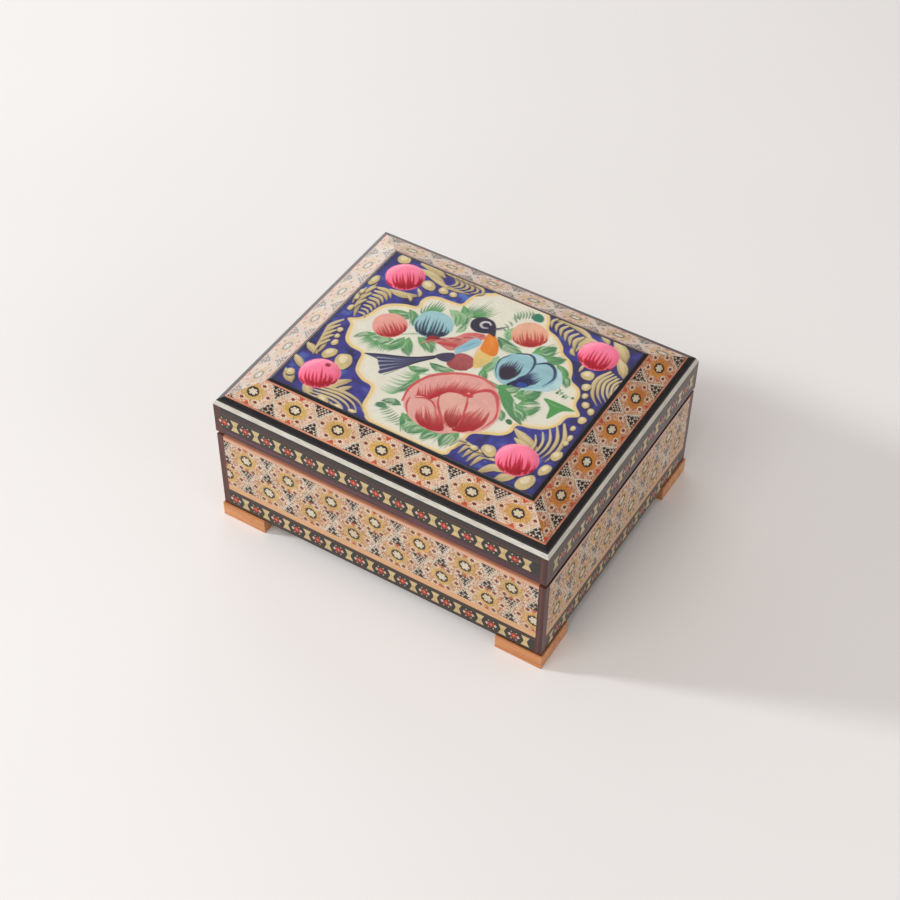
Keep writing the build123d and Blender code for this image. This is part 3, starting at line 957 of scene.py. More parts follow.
def leaf(x0, y0, x1, y1, width, bend, tones=GREEN):
    """A green leaf in one press of the brush, with fine brush lines over a pale vein."""
    colour, tail = tones
    dx, dy = x1 - x0, y1 - y0
    mx, my = (x0 + x1) / 2 - dy * bend, (y0 + y1) / 2 + dx * bend
    points = [(x0, y0), (mx, my), (x1, y1)]
    under = [(x + 3, y + 3) for x, y in points]
    paint_stroke(under, width * 1.25, LEAF_EDGE, LEAF_PALE, ROUND, 0.5, 0.5, 0.0)
    paint_stroke(points, width, colour, tail, ROUND, 0.3, 0.96, 0.012)
    paint_stroke(points, width * 0.2, LEAF_PALE, colour, ROUND, 0.5, 0.45, 0.0)
    across_x, across_y = -dy * 0.16, dx * 0.16
    for share in (-0.8, -0.4, 0.1, 0.5, 0.9):
        aside = share * width / max(math.hypot(dx, dy), 1) / 0.36
        foot = (x0 + (mx - x0) * 0.7 + across_x * aside * 0.5,
                y0 + (my - y0) * 0.7 + across_y * aside * 0.5)
        knee = (mx + across_x * aside, my + across_y * aside)
        reach = chance.uniform(0.9, 1.12)
        tip = (x0 + dx * reach + across_x * aside * 0.9, y0 + dy * reach + across_y * aside * 0.9)
        tone = (LEAF_DARK, LEAF_LIGHT, colour)[int(chance.rand() * 3)]
        paint_stroke([foot, knee, tip], width * 0.12 + 1.5, tone, tail, TAPER, 0.3, 0.65, 0.004)


def leaves(*each):
    """Leaves one after the other: foot, tip, width, bend and, where set, tones."""
    for values in each:
        leaf(*values)


def fern(line, length, turn, count, width=6.5, colour=LEAF_DARK, tail=LEAF_PALE, curl=0.25):
    """Fine strokes side by side along a line, all leaning one way."""
    path = curve(line)
    for k in range(count):
        x, y = spot_on(path, k / max(count - 1, 1))
        a = math.radians(turn + 10 * (chance.rand() - 0.5))
        far = length * (0.6 + 0.4 * math.sin(math.pi * (k + 1) / (count + 1)))
        far *= 0.9 + 0.2 * chance.rand()
        mid = (x + math.cos(a + curl) * far * 0.5, y + math.sin(a + curl) * far * 0.5)
        end = (x + math.cos(a) * far, y + math.sin(a) * far)
        paint_stroke([(x, y), mid, end], width, colour, tail, TAPER, 0.2, 0.85, 0.006)


def nest(points, step, count, width, shrink=0.93):
    """Gold strokes side by side, each a step from the last one and a little smaller."""
    x0, y0 = points[0]
    for k in range(count):
        size = shrink**k
        moved = [
            (x0 + (x - x0) * size + step[0] * k, y0 + (y - y0) * size + step[1] * k)
            for x, y in points
        ]
        gold_stroke(moved, width * size * chance.uniform(0.9, 1.1), FINGER)


def paint_ground():
    """The blue field with its broken lights, and the cream medallion with its gold edge."""
    gx, gy = np.meshgrid(SHEET_X, SHEET_Y)
    cloud = speckle((gy, gx), 60, 5) * 0.6 + speckle((gy, gx), 18, 6) * 0.4
    blues = (40, 38, 86), (56, 56, 140), (84, 112, 188)
    deep, mid, light = (np.array(srgb(*tone)) for tone in blues)
    tone = deep + (mid - deep) * step_up(cloud, 0.2, 0.6)[..., None]
    tone = tone + (light - tone) * (0.55 * step_up(cloud, 0.62, 0.85))[..., None]
    ends = (gx - SHEET_X[0], SHEET_X[-1] - gx, gy - SHEET_Y[0], SHEET_Y[-1] - gy)
    shore = (0.6 * (1 - step_up(np.minimum.reduce(ends), 0, 16)))[..., None]
    ink[:] = tone * (1 - shore) + np.array(srgb(30, 28, 46)) * shore
    left = [(640, 150), (600, 172), (560, 200), (541, 240), (535, 283), (500, 293), (440, 298),
            (405, 318), (394, 350), (398, 386), (350, 402), (300, 432), (277, 470), (266, 520),
            (246, 556), (214, 580), (240, 602), (252, 640), (272, 682), (310, 704), (362, 712),
            (378, 760), (396, 800), (440, 828), (486, 838), (502, 880), (512, 930), (542, 965),
            (600, 994)]
    right = [(866, 994), (900, 950), (912, 900), (918, 852), (962, 826), (1010, 802), (1032, 770),
             (1034, 730), (1082, 716), (1128, 692), (1158, 650), (1166, 602), (1198, 572),
             (1160, 530), (1150, 482), (1128, 450), (1086, 428), (1068, 388), (1040, 346),
             (992, 318), (972, 288), (930, 254), (886, 236), (868, 200), (846, 164), (810, 150)]
    outline = left + right
    spot, gx, gy, inside = paint_fill(outline, (226, 224, 208), 1.6, 0.02, 0.05, 3)
    ring = curve(outline, True)
    ring = np.vstack([ring, ring[:1]])
    away = follow(ring, gx, gy)[0]
    rough = 13.5 + 3.5 * (speckle((gy, gx), 50, 8) - 0.5)
    rim = step_up(rough - away, -2.0, 4.0) * step_up(inside, 0.05, 0.5)
    lay(spot, rim, np.array(srgb(230, 203, 138)), 0.02)
    glow = step_up(32 - away, 0, 18) * inside * (1 - rim) * 0.6
    lay(spot, glow, np.array(srgb(238, 216, 176)))


def paint_corners():
    """Gold leaves, fingers and dots on the blue, corner by corner."""
    strokes = (
        # back left
        ([(284, 170), (340, 168), (402, 190)], 38), ([(296, 200), (360, 204), (424, 228)], 34),
        ([(340, 214), (430, 232), (532, 224)], 18), ([(262, 362), (322, 358), (368, 336)], 34),
        ([(336, 352), (354, 364), (362, 376)], 15), ([(348, 300), (368, 318), (376, 338)], 16),
        ([(196, 360), (194, 430), (204, 500), (228, 560)], 24),
        ([(178, 400), (172, 450), (180, 500)], 16),
        # back right
        ([(1062, 212), (1010, 180), (940, 166), (872, 178)], 24),
        ([(1070, 200), (1034, 212), (1012, 250)], 34),
        ([(1008, 272), (1016, 296), (1034, 308)], 18), ([(1070, 162), (1096, 172), (1112, 190)], 24),
        ([(1128, 164), (1172, 196), (1210, 238)], 50), ([(1186, 240), (1216, 276), (1240, 318)], 40),
        ([(1087, 326), (1086, 350), (1088, 374)], 13), ([(1218, 330), (1238, 380), (1240, 440)], 24),
        # front left
        ([(190, 636), (206, 700), (222, 760), (222, 804)], 18), ([(164, 772), (196, 786), (226, 802)], 32),
        ([(162, 848), (196, 870), (224, 892)], 30), ([(178, 930), (204, 950), (232, 974)], 40),
        ([(276, 940), (304, 974), (332, 1000)], 38), ([(366, 928), (378, 888), (412, 852)], 32),
        ([(392, 926), (414, 898), (430, 878)], 22), ([(350, 936), (386, 930), (424, 926)], 28),
        # front right
        ([(1040, 752), (1096, 774), (1156, 796)], 38), ([(1060, 790), (1100, 800), (1140, 806)], 26),
        ([(1146, 926), (1124, 962), (1098, 998)], 42), ([(1112, 944), (1064, 950), (1032, 998)], 34),
    )
    for points, width in strokes:
        gold_stroke(points, width)
    nests = (
        ([(388, 162), (440, 172), (458, 200), (436, 228)], (25, 0), 6, 16, 0.96),
        ([(214, 376), (258, 372), (288, 400)], (2, 22), 8, 20, 0.9),
        ([(206, 376), (188, 420), (192, 470)], (4, 40), 3, 14),
        ([(1014, 204), (998, 238), (1018, 284)], (-26, -8), 6, 18, 0.93),
        ([(1046, 214), (1024, 240), (1024, 262)], (0, 16), 3, 15),
        ([(1186, 314), (1162, 380), (1184, 450), (1226, 494)], (14, 5), 6, 16, 0.87),
        ([(204, 596), (178, 650), (190, 712)], (5, 30), 5, 14, 0.95),
        ([(333, 930), (427, 916), (497, 930), (538, 966)], (-5, 16), 6, 12, 0.93),
        ([(1172, 636), (1208, 700), (1216, 770), (1204, 832)], (-15, 25), 5, 15, 0.85),
        ([(1050, 918), (1008, 924), (994, 984)], (-26, -5), 6, 20, 0.93),
    )
    for nested in nests:
        nest(*nested)
    blobs = (
        (210, 182, 27, 25, 20), (178, 346, 15, 32, 6), (372, 262, 32, 23, 24), (436, 258, 20, 17, 20),
        (479, 257, 15, 14, 10), (174, 424, 9, 15, 0), (177, 464, 8, 14, 0), (188, 524, 10, 17, 0),
        (1124, 374, 25, 24, 0), (1148, 430, 16, 19, 10), (1166, 472, 11, 14, 0), (1190, 512, 14, 16, -30),
        (1222, 532, 12, 17, -20), (1216, 586, 15, 18, 0), (224, 648, 11, 13, 0), (234, 682, 10, 12, 0),
        (246, 716, 12, 17, 0), (262, 774, 22, 32, 24), (330, 784, 32, 42, -22), (196, 930, 17, 18, 0),
        (378, 984, 28, 15, 24), (446, 988, 21, 9, 8), (500, 980, 17, 8, -6), (1208, 638, 9, 13, 0),
        (1222, 686, 9, 17, 0), (1222, 716, 9, 13, 0), (1224, 786, 18, 26, 10), (1222, 866, 18, 30, 12),
        (1194, 952, 27, 42, 18), (1012, 888, 32, 24, 28), (960, 904, 15, 12, 0),
    )
    for x, y, rx, ry, turn in blobs:
        gold_blob(x, y, rx, ry, turn)
    paint_stroke([(498, 240), (530, 246), (522, 280)], 20, (84, 128, 206), (64, 84, 186), TAPER, 0.4, 0.8)


def paint_leaves():
    """Greenery of the medallion, behind its flowers and bird."""
    # from the left bud over the blue bud to the bird's head
    fan([(582, 342), (600, 330), (618, 322)], [(560, 262), (606, 214), (654, 200), (694, 256)], 13, 9,
        LEAF_DARK, (176, 204, 166), 0.35, 0.1)
    fan([(590, 330), (610, 318)], [(640, 236), (700, 232)], 5, 8, LEAF, LEAF_PALE, 0.3, 0.1)
    leaves((548, 292, 606, 392, 40, -0.08), (560, 360, 590, 300, 18, 0.1, PALE))
    fan([(440, 420), (456, 392), (484, 376)], [(400, 366), (438, 306), (472, 300), (500, 330)], 9, 9,
        LEAF, LEAF_DARK, 0.35, 0.1)
    leaves(
        (516, 338, 582, 402, 46, -0.22, PALE), (322, 462, 420, 438, 50, 0.1),
        (386, 418, 440, 486, 34, -0.15), (598, 430, 606, 376, 26, 0.1, PALE),
    )
    # under the buds on the left
    paint_stroke([(420, 560), (470, 520), (520, 500)], 9, LEAF_PALE, LEAF, (0.3, 1, 0.3), 0.3, 0.8)
    leaves(
        (496, 530, 580, 572, 52, -0.1), (566, 530, 512, 508, 22, 0.1), (466, 552, 516, 632, 46, 0.08),
        (450, 560, 424, 650, 44, -0.1), (420, 590, 376, 648, 40, 0.12),
        (404, 600, 330, 622, 40, 0.16, PALE), (352, 600, 288, 652, 26, 0.1),
    )
    fan([(330, 622), (372, 632), (430, 628)], [(286, 676), (344, 700), (396, 704), (440, 664)], 14, 9,
        LEAF, (200, 216, 194), 0.4, 0.15)
    # round the peony
    leaves((606, 624, 700, 612, 36, 0.12, DARK), (548, 680, 620, 656, 34, 0.12))
    paint_stroke([(548, 712), (650, 668), (760, 600)], 10, LEAF_PALE, (196, 214, 188),
                 (0.3, 1, 0.3), 0.3, 0.8)
    fern([(604, 676), (602, 736), (590, 800)], 108, 150, 15, 9, LEAF, (206, 220, 200), -0.5)
    leaves(
        (606, 704, 586, 808, 36, -0.1), (628, 862, 560, 880, 34, 0.1, DARKEST),
        (592, 898, 548, 908, 28, 0.1, DARKEST),
    )
    fern([(596, 888), (650, 908), (700, 924)], 60, 124, 11, 7, LEAF_DARK, LEAF_PALE, -0.2)
    leaves(
        (660, 896, 716, 964, 54, -0.12), (724, 906, 700, 960, 34, 0.05, PALE),
        (776, 908, 724, 966, 44, 0.1), (826, 900, 776, 968, 46, 0.1), (870, 860, 852, 960, 66, 0.06),
    )
    # between the flowers on the right
    blot(818, 200, 26, 22, (44, 122, 96), 3.0, 0.02, 20)
    fern([(746, 254), (776, 232), (804, 212)], 52, -120, 8, 8)
    fern([(752, 330), (758, 290), (766, 246)], 36, -150, 5, 9)
    leaves(
        (748, 372, 862, 398, 50, 0.12, DARK), (768, 300, 786, 366, 38, 0.1, PALE),
        (898, 380, 956, 306, 66, 0.08), (938, 380, 1016, 342, 46, 0.14),
        (1004, 384, 1068, 458, 36, -0.14), (1042, 420, 1090, 470, 34, -0.1),
        (798, 462, 788, 566, 46, -0.05, PALE), (786, 548, 822, 600, 34, 0.05),
        (820, 590, 890, 596, 24, 0.1),
    )
    fern([(1056, 472), (1086, 492), (1116, 506)], 30, 96, 6, 7)
    for x, y in ((1074, 512), (1102, 518), (1134, 506)):
        blot(x, y, 6, 6, LEAF_DARK, 1.4, 0.01)
    paint_stroke([(1060, 470), (1086, 504), (1134, 508)], 6, LEAF, LEAF_PALE, (0.4, 1, 0.3), 0.3, 0.8)
    paint_fill([(1046, 562), (1092, 554), (1172, 560), (1134, 586), (1106, 646), (1086, 592)],
               (78, 152, 80), 1.8, 0.015)
    paint_stroke([(1062, 566), (1100, 574), (1150, 564)], 8, LEAF_PALE, LEAF, (0.3, 1, 0.2), 0.4, 0.5)
    leaves(
        (882, 604, 950, 552, 56, 0.06), (954, 606, 1018, 528, 66, 0.1), (914, 604, 912, 652, 50, 0.0),
    )
    paint_stroke([(884, 592), (948, 646), (1000, 692), (1042, 718)], 50, LEAF, LEAF_DARK,
                 (0.4, 0.9, 1.0, 0.7, 0.15), 0.15)
    leaves(
        (972, 646, 1058, 606, 46, 0.3), (984, 636, 1046, 592, 26, -0.1),
        (984, 668, 1040, 700, 34, -0.2), (946, 694, 974, 740, 32, 0.0),
    )
    blot(1000, 730, 15, 11, LEAF_DARK, 1.5, 0.01, 30)
    for points in (((960, 612), (972, 646), (1000, 680)), ((986, 664), (1018, 672), (1034, 694))):
        paint_stroke(points, 7, (214, 218, 204), LEAF_PALE, (0.6, 1, 0.2), 0.2, 0.8)


def paint_blue_flower():
    """Two light blue petals with dark brown and navy hearts."""
    petal, line_tone = (146, 192, 200), (42, 56, 90)
    paint_fill([(1010, 402), (1050, 430), (1068, 480), (1044, 524), (1000, 544), (960, 560), (990, 470)],
               (178, 212, 216), 2.0, 0.02, 0.1, 21)
    paint_fill([(890, 384), (930, 374), (964, 388), (950, 420), (914, 420)], (176, 210, 216), 2.0, 0.02)
    paint_fill([(888, 400), (926, 404), (948, 440), (940, 500), (918, 548), (888, 576), (842, 560),
                (814, 516), (810, 466), (830, 424), (862, 404)], petal, 1.6, 0.03, 0.12, 23)
    paint_fill([(950, 412), (990, 398), (1026, 424), (1038, 470), (1020, 516), (976, 552), (930, 566),
                (908, 556), (926, 500), (938, 448)], petal, 1.6, 0.03, 0.12, 25)
    for line, width in (([(848, 412), (886, 392), (918, 402), (936, 450), (930, 520)], 11),
                        ([(934, 424), (968, 398), (1004, 408), (1028, 456), (1012, 512)], 14),
                        ([(832, 430), (812, 470), (822, 520), (850, 560)], 6)):
        paint_stroke(line, width, line_tone, (70, 96, 128), (0.4, 1.0, 0.8, 0.2))
    brown, navy = (44, 32, 54), (26, 30, 76)
    paint_fill([(846, 540), (838, 510), (852, 486), (882, 484), (900, 506), (896, 540), (870, 558)],
               brown, 4, 0.015)
    fan([(842, 530), (868, 500), (900, 528)], [(826, 456), (850, 436), (880, 430), (906, 448)], 10, 9,
        brown, (70, 84, 112), 0.35)
    paint_fill([(906, 560), (922, 524), (956, 500), (974, 520), (960, 552), (930, 566)], navy, 4, 0.015)
    fan([(916, 544), (940, 516), (968, 530)], [(936, 470), (962, 450), (988, 452), (1000, 486)], 10, 9,
        navy, (70, 92, 130), 0.35)
    blot(944, 544, 20, 12, (40, 70, 156), 3.0, 0.01, -20)
    paint_stroke([(902, 568), (914, 540), (930, 512)], 12, (22, 24, 56), (36, 46, 92), (1, 0.8, 0.1))


def paint_peony():
    """The large open peony: pale petals edged in rose, with fans of crimson strokes."""
    pale, rose_tone, crimson = (226, 168, 158), (204, 84, 86), (176, 26, 38)
    deep, shadow = (160, 16, 28), ((166, 20, 32), (176, 30, 40), (0.5, 1, 1, 0.5), 0.3, 0.7)
    body = [(616, 810), (608, 750), (632, 690), (680, 640), (740, 606), (800, 588), (856, 598),
            (904, 634), (942, 686), (960, 744), (950, 806), (912, 852), (866, 878), (824, 908),
            (770, 916), (712, 908), (662, 880), (632, 850)]
    paint_fill(body, (226, 162, 154), 1.8, 0.03, 0.12, 31)
    # back petals: rosy outer edge and a fringe of strokes out of the inner arc
    edge = [(622, 840), (610, 770), (634, 690), (684, 638), (744, 604), (806, 590), (866, 604)]
    paint_stroke(edge, 13, (204, 76, 78), (212, 92, 88), (0.6, 1.0, 1.0, 0.8))
    inner = [(652, 792), (700, 776), (718, 744), (748, 718), (784, 702), (812, 690)]
    fan(inner, [(630, 740), (652, 700), (696, 662), (744, 636), (790, 622), (826, 626)], 27, 8.5,
        crimson, (214, 112, 104), 0.4, 0.0)
    paint_stroke([(700, 778), (716, 746), (748, 720), (784, 704), (812, 692)], 24, crimson,
                 (196, 54, 58), (0.5, 1.0, 0.9, 0.6))
    paint_stroke([(648, 796), (672, 780), (704, 776)], 12, (196, 60, 64), crimson, (0.3, 1.0, 0.8))
    # left petal
    paint_fill([(650, 800), (680, 784), (720, 790), (752, 822), (800, 900), (744, 908), (684, 886),
                (652, 850)], pale, 2.0, 0.02, 0.1, 35)
    fan([(740, 908), (790, 908), (822, 890)], [(684, 850), (692, 816), (722, 802), (752, 812)], 13, 12,
        deep, (208, 96, 88), 0.35)
    paint_stroke([(744, 900), (786, 898), (818, 880)], 30, *shadow)
    # right petal
    paint_fill([(824, 700), (836, 660), (872, 636), (910, 662), (936, 712), (938, 780), (900, 840),
                (862, 866), (850, 800), (840, 740)], pale, 2.0, 0.02, 0.1, 33)
    fan([(852, 868), (880, 860), (908, 834)], [(856, 752), (874, 716), (900, 706), (924, 726)], 13, 12,
        deep, (204, 90, 84), 0.35)
    paint_stroke([(856, 858), (880, 850), (904, 826)], 26, *shadow)
    paint_stroke([(908, 830), (922, 780), (916, 724)], 24, (168, 26, 36), (206, 92, 88),
                 (0.9, 1.0, 0.6, 0.1))
    # middle petal
    paint_fill([(724, 756), (742, 718), (790, 704), (822, 732), (842, 780), (856, 836), (848, 862),
                (812, 854), (770, 820), (736, 786)], (226, 172, 156), 1.6, 0.03, 0.08, 39)
    fan([(812, 846), (838, 862), (854, 846)], [(768, 776), (790, 752), (812, 756), (828, 778)], 10, 11,
        (150, 18, 26), (206, 96, 88), 0.3)
    for line, width in (
        ([(724, 752), (740, 788), (780, 832), (828, 868)], 10),
        ([(812, 700), (830, 740), (848, 800), (856, 846)], 9),
        ([(654, 804), (690, 786), (728, 796), (762, 836)], 9),
        ([(636, 812), (646, 850), (676, 890)], 8),
        ([(816, 692), (828, 660), (864, 632), (902, 648), (938, 704)], 17),
        ([(938, 704), (950, 750), (936, 810)], 9),
    ):
        paint_stroke(line, width, (190, 44, 50), rose_tone, (0.5, 1.0, 0.9, 0.4), 0.1, 0.92, 0.016)
    blot(812, 692, 16, 12, (200, 54, 60), 2.5, 0.02)
    blot(806, 684, 6, 4, (232, 150, 146), 2.0, 0.0)


def paint_bird():
    """The small bird: navy head and tail, orange and yellow breast, rose wing."""
    paint_fill([(660, 530), (690, 512), (730, 520), (748, 552), (730, 590), (700, 606), (668, 602),
                (648, 578)], (166, 80, 82), 1.8, 0.03, 0.25, 51)
    fan([(660, 596), (700, 604), (736, 586)], [(664, 540), (700, 520), (736, 536)], 12, 6,
        (146, 58, 62), (186, 104, 98), 0.4, 0.1)
    paint_fill([(712, 470), (730, 458), (770, 460), (786, 480), (780, 524), (756, 562), (738, 540),
                (722, 506)], (224, 194, 118), 1.8, 0.03, 0.12, 53)
    paint_fill([(704, 376), (730, 370), (752, 388), (778, 424), (788, 464), (764, 474), (722, 464),
                (710, 430)], (224, 128, 40), 1.8, 0.03, 0.14, 55)
    paint_stroke([(722, 388), (750, 420), (768, 462)], 18, (238, 150, 58), (208, 108, 30), TAPER, 0.2, 0.6)
    paint_stroke([(698, 390), (706, 430), (714, 470), (722, 510)], 13, (236, 208, 194), (228, 190, 160),
                 (0.5, 1.0, 0.8, 0.3))
    # wing
    paint_fill([(696, 386), (706, 404), (692, 436), (664, 488), (630, 528), (576, 520), (526, 514),
                (560, 490), (606, 456), (630, 416), (662, 396)], (202, 118, 114), 1.8, 0.03, 0.3, 57)
    for k in range(10):
        x, y = 690 - 14 * k, 400 + 11 * k
        tones = ((178, 66, 70), (222, 160, 148), (150, 74, 76))
        paint_stroke([(x + 4, y), (x - 22, y + 18), (x - 50, y + 60)], 8, tones[k % 3],
                     tones[(k + 1) % 3], (0.5, 1, 0.7, 0.1), 0.1, 0.9)
    paint_stroke([(696, 392), (662, 402), (630, 430), (606, 462)], 15, (206, 84, 86), (222, 140, 130),
                 (0.5, 1, 0.8, 0.2))
    fan([(638, 500), (600, 512), (566, 518)], [(650, 460), (620, 470), (600, 484)], 9, 8,
        (186, 52, 58), (214, 124, 114), 0.3)
    paint_stroke([(560, 494), (536, 504), (528, 520)], 22, (128, 26, 36), (160, 44, 50), (0.5, 1.0, 0.7))
    paint_fill([(672, 424), (700, 420), (710, 440), (694, 480), (674, 512), (654, 530), (642, 508),
                (654, 476)], (144, 192, 206), 1.8, 0.03, 0.12, 59)
    for k in range(4):
        line = [(692 - 6 * k, 434 + 8 * k), (676 - 6 * k, 474 + 8 * k), (658 - 4 * k, 510 + 4 * k)]
        paint_stroke(line, 6, (104, 160, 184), (176, 214, 222), (0.4, 1, 0.2), 0.2, 0.7)
    # tail
    tail, tail_edge = (66, 68, 104), (40, 38, 62)
    paint_fill([(600, 580), (560, 612), (500, 646), (430, 674), (374, 706), (426, 708), (444, 726),
                (462, 744), (474, 768), (500, 740), (524, 700), (556, 650), (606, 594)],
               tail, 1.6, 0.02, 0.2, 61)
    for x0, y0, x1, y1 in ((520, 656, 424, 700), (520, 664, 436, 716), (522, 676, 452, 734),
                           (524, 688, 468, 750), (526, 700, 486, 756)):
        paint_stroke([(x0, y0), (x1, y1)], 5, (128, 134, 166), (176, 182, 204),
                     (0.1, 0.8, 1.0), 0.1, 0.9)
        paint_stroke([(x0 + 4, y0 + 6), (x1 + 8, y1 + 8)], 4, (34, 34, 58), (44, 44, 74),
                     (0.2, 0.9, 1.0), 0.1, 0.8)
    paint_stroke([(600, 582), (540, 628), (470, 662), (374, 706)], 9, tail_edge, tail_edge, (1, 0.8, 0.7))
    paint_stroke([(602, 592), (556, 650), (524, 704), (480, 764)], 10, tail_edge, tail, (0.9, 1.0, 0.6))
    paint_fill([(650, 532), (664, 552), (654, 584), (626, 592), (598, 580), (616, 552)],
               (60, 56, 84), 1.8, 0.03, 0.25, 62)
    # head
    paint_fill([(615, 348), (624, 320), (650, 303), (684, 304), (708, 324), (724, 352), (732, 376),
                (706, 374), (684, 384), (656, 390), (628, 378)], (40, 38, 60), 1.6, 0.04, 0.12, 63)
    paint_stroke([(716, 336), (728, 324), (746, 304)], 10, (84, 82, 96), (120, 118, 124), (1.0, 0.8, 0.3))
    paint_stroke([(722, 338), (738, 328), (752, 318)], 5, (150, 148, 150), (130, 128, 130), (1, 0.7, 0.2))
    ring = [(688, 328), (674, 320), (658, 328), (654, 344), (668, 356), (686, 350)]
    paint_stroke(ring, 10, (208, 206, 212), (176, 174, 186), (0.6, 1.0, 1.0, 0.6))


def paint_buds():
    """The medallion's own buds, and the four that stand up from the corners."""
    blue = ((154, 198, 204), (122, 172, 186), (22, 26, 48), (58, 78, 106))
    bud(505, 440, 75, blue, 72, 10, 0.5, 10)
    paint_stroke([(556, 462), (552, 492), (540, 506)], 14, (24, 30, 52), (60, 80, 110), (0.8, 1, 0.2))
    bud(368, 530, 67, ((232, 164, 150), (212, 92, 84), (156, 18, 24), (206, 70, 66)), 40, 12, 0.3, 8)
    orange = ((230, 174, 146), (218, 112, 90), (160, 20, 22), (204, 74, 62))
    bud(838, 298, 69, orange, 56, 12, 0.35, 8)
    pink = ((255, 128, 164), (238, 84, 112), (158, 10, 30), (214, 34, 66))
    for (x, y), root in zip(bud_places, (56, 84, 60, 66)):
        px, py = MIDDLE_X + x * UNIT, MIDDLE_Y - y * UNIT
        bud(px, py, bud_radius * UNIT * 1.03, pink, root, 10, 0.2, 10)
        # A pale pink stroke on each raised bud's upper left: partly the bud's own paint, partly a painted
        # highlight
        paint_stroke([(px - 34, py - 46), (px - 52, py - 18), (px - 52, py + 14)], 22, (255, 166, 198),
                     (255, 146, 182), (0.3, 1, 0.3), 0.4, 0.35, 0.0)
    blot(298, 836, 11, 10, (150, 10, 30), 2.0, 0.02, 20)


# Order of the painting: what is laid later covers what was laid before
paint_ground()
paint_corners()
paint_leaves()
paint_blue_flower()
paint_peony()
paint_buds()
paint_bird()


# The drawn sheet on its meshes

# The most relief that paint has, and how much of it shows on the panel and on the buds
RELIEF_LIMIT, PANEL_RELIEF, BUD_RELIEF = 0.1, 0.8, 0.5

# How far the painting stands above its panel
PAINT_LIFT = 0.02


def soften(field, rounds):
    """Averages a field with its neighbours."""
    for _ in range(rounds):
        padded = np.pad(field, 1, mode="edge")
        field = (padded[:-2, 1:-1] + padded[2:, 1:-1] + padded[1:-1, :-2] + padded[1:-1, 2:]
                 + 4 * padded[1:-1, 1:-1]) / 8
    return field


def pick(field, x, y):
    """Reads a drawn field at places in millimetres, between its cells."""
    fx = np.clip((x + WIDE * CELL / 2) / CELL - 0.5, 0, WIDE - 1.001)
    fy = np.clip((HIGH * CELL / 2 - y) / CELL - 0.5, 0, HIGH - 1.001)
    ix, iy = fx.astype(int), fy.astype(int)
    tx, ty = fx - ix, fy - iy
    if field.ndim == 3:
        tx, ty = tx[..., None], ty[..., None]
    low = field[iy, ix] * (1 - tx) + field[iy, ix + 1] * tx
    high = field[iy + 1, ix] * (1 - tx) + field[iy + 1, ix + 1] * tx
    return low * (1 - ty) + high * ty


def drawn_piece(name, x, y, z, faces, look):
    """A piece whose points take their colour from the drawn sheet at the same place."""
    corners = np.stack([x, y, z], 1) * MM
    piece = mesh_piece(name, corners, faces, "lid", look)
    paint = piece.data.attributes.new("drawn", "FLOAT_COLOR", "POINT")
    tones = np.concatenate([pick(ink, x, y), np.ones((len(x), 1))], 1)
    paint.data.foreach_set("color", tones.ravel())
    smooth(piece)
    return piece


def grid_faces(cols, rows):
    """Squares of a grid whose rows run from low to high y."""
    k = np.arange(cols * rows).reshape(rows, cols)
    return np.stack([k[:-1, :-1], k[:-1, 1:], k[1:, 1:], k[1:, :-1]], -1).reshape(-1, 4)


def painting():
    """The flat painting, on a grid of points 0.2 mm apart."""
    step = 0.2
    cols, rows = int(PAINT_LENGTH / step) + 1, int(PAINT_WIDTH / step) + 1
    gx, gy = np.meshgrid(
        np.linspace(-PAINT_LENGTH / 2, PAINT_LENGTH / 2, cols),
        np.linspace(-PAINT_WIDTH / 2, PAINT_WIDTH / 2, rows),
    )
    x, y = gx.ravel(), gy.ravel()
    z = panel_top + PAINT_LIFT + pick(height_field, x, y) * PANEL_RELIEF
    look = paint_material("painting", 0.34, 0.45)
    drawn_piece("painting", x, y, z, grid_faces(cols, rows), look)


RINGS, SPOKES = 34, 120


def raised_bud(number, middle_x, middle_y, look):
    """A low dome of thick paint with a slightly wavy rim."""
    turn = np.arange(SPOKES) * 2 * np.pi / SPOKES
    rim = 1 + 0.012 * np.sin(3 * np.arange(SPOKES) * 2 * np.pi / SPOKES + number)
    x, y, z = [middle_x], [middle_y], [panel_top + bud_height]
    for ring in range(1, RINGS + 1):
        share = ring / RINGS
        far = bud_radius * share * rim
        x.extend(middle_x + far * np.cos(turn))
        y.extend(middle_y + far * np.sin(turn))
        z.extend([panel_top + bud_height * (1 - share**3.2) ** 0.75] * SPOKES)
    x, y, z = map(np.array, (x, y, z))
    z = z + pick(height_field, x, y) * BUD_RELIEF - PAINT_LIFT
    faces = [(0, 1 + k, 1 + (k + 1) % SPOKES) for k in range(SPOKES)]
    for low in range(1, 1 + (RINGS - 1) * SPOKES, SPOKES):
        for k in range(SPOKES):
            n = (k + 1) % SPOKES
            faces.append((low + k, low + SPOKES + k, low + SPOKES + n, low + n))
    return drawn_piece(f"raised_bud_{number}", x, y, z, faces, look)


height_field = soften(np.minimum(relief, RELIEF_LIMIT), 3)
painting()
bud_look = paint_material("bud_paint", 0.42, 0.2)
buds = [raised_bud(number, *place, bud_look) for number, place in enumerate(bud_places)]
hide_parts("painted_buds")


# Velvet lining

PAD_COLS, PAD_ROWS = 61, 49
STRIP_STEPS, ROUND_STEPS = 60, 8


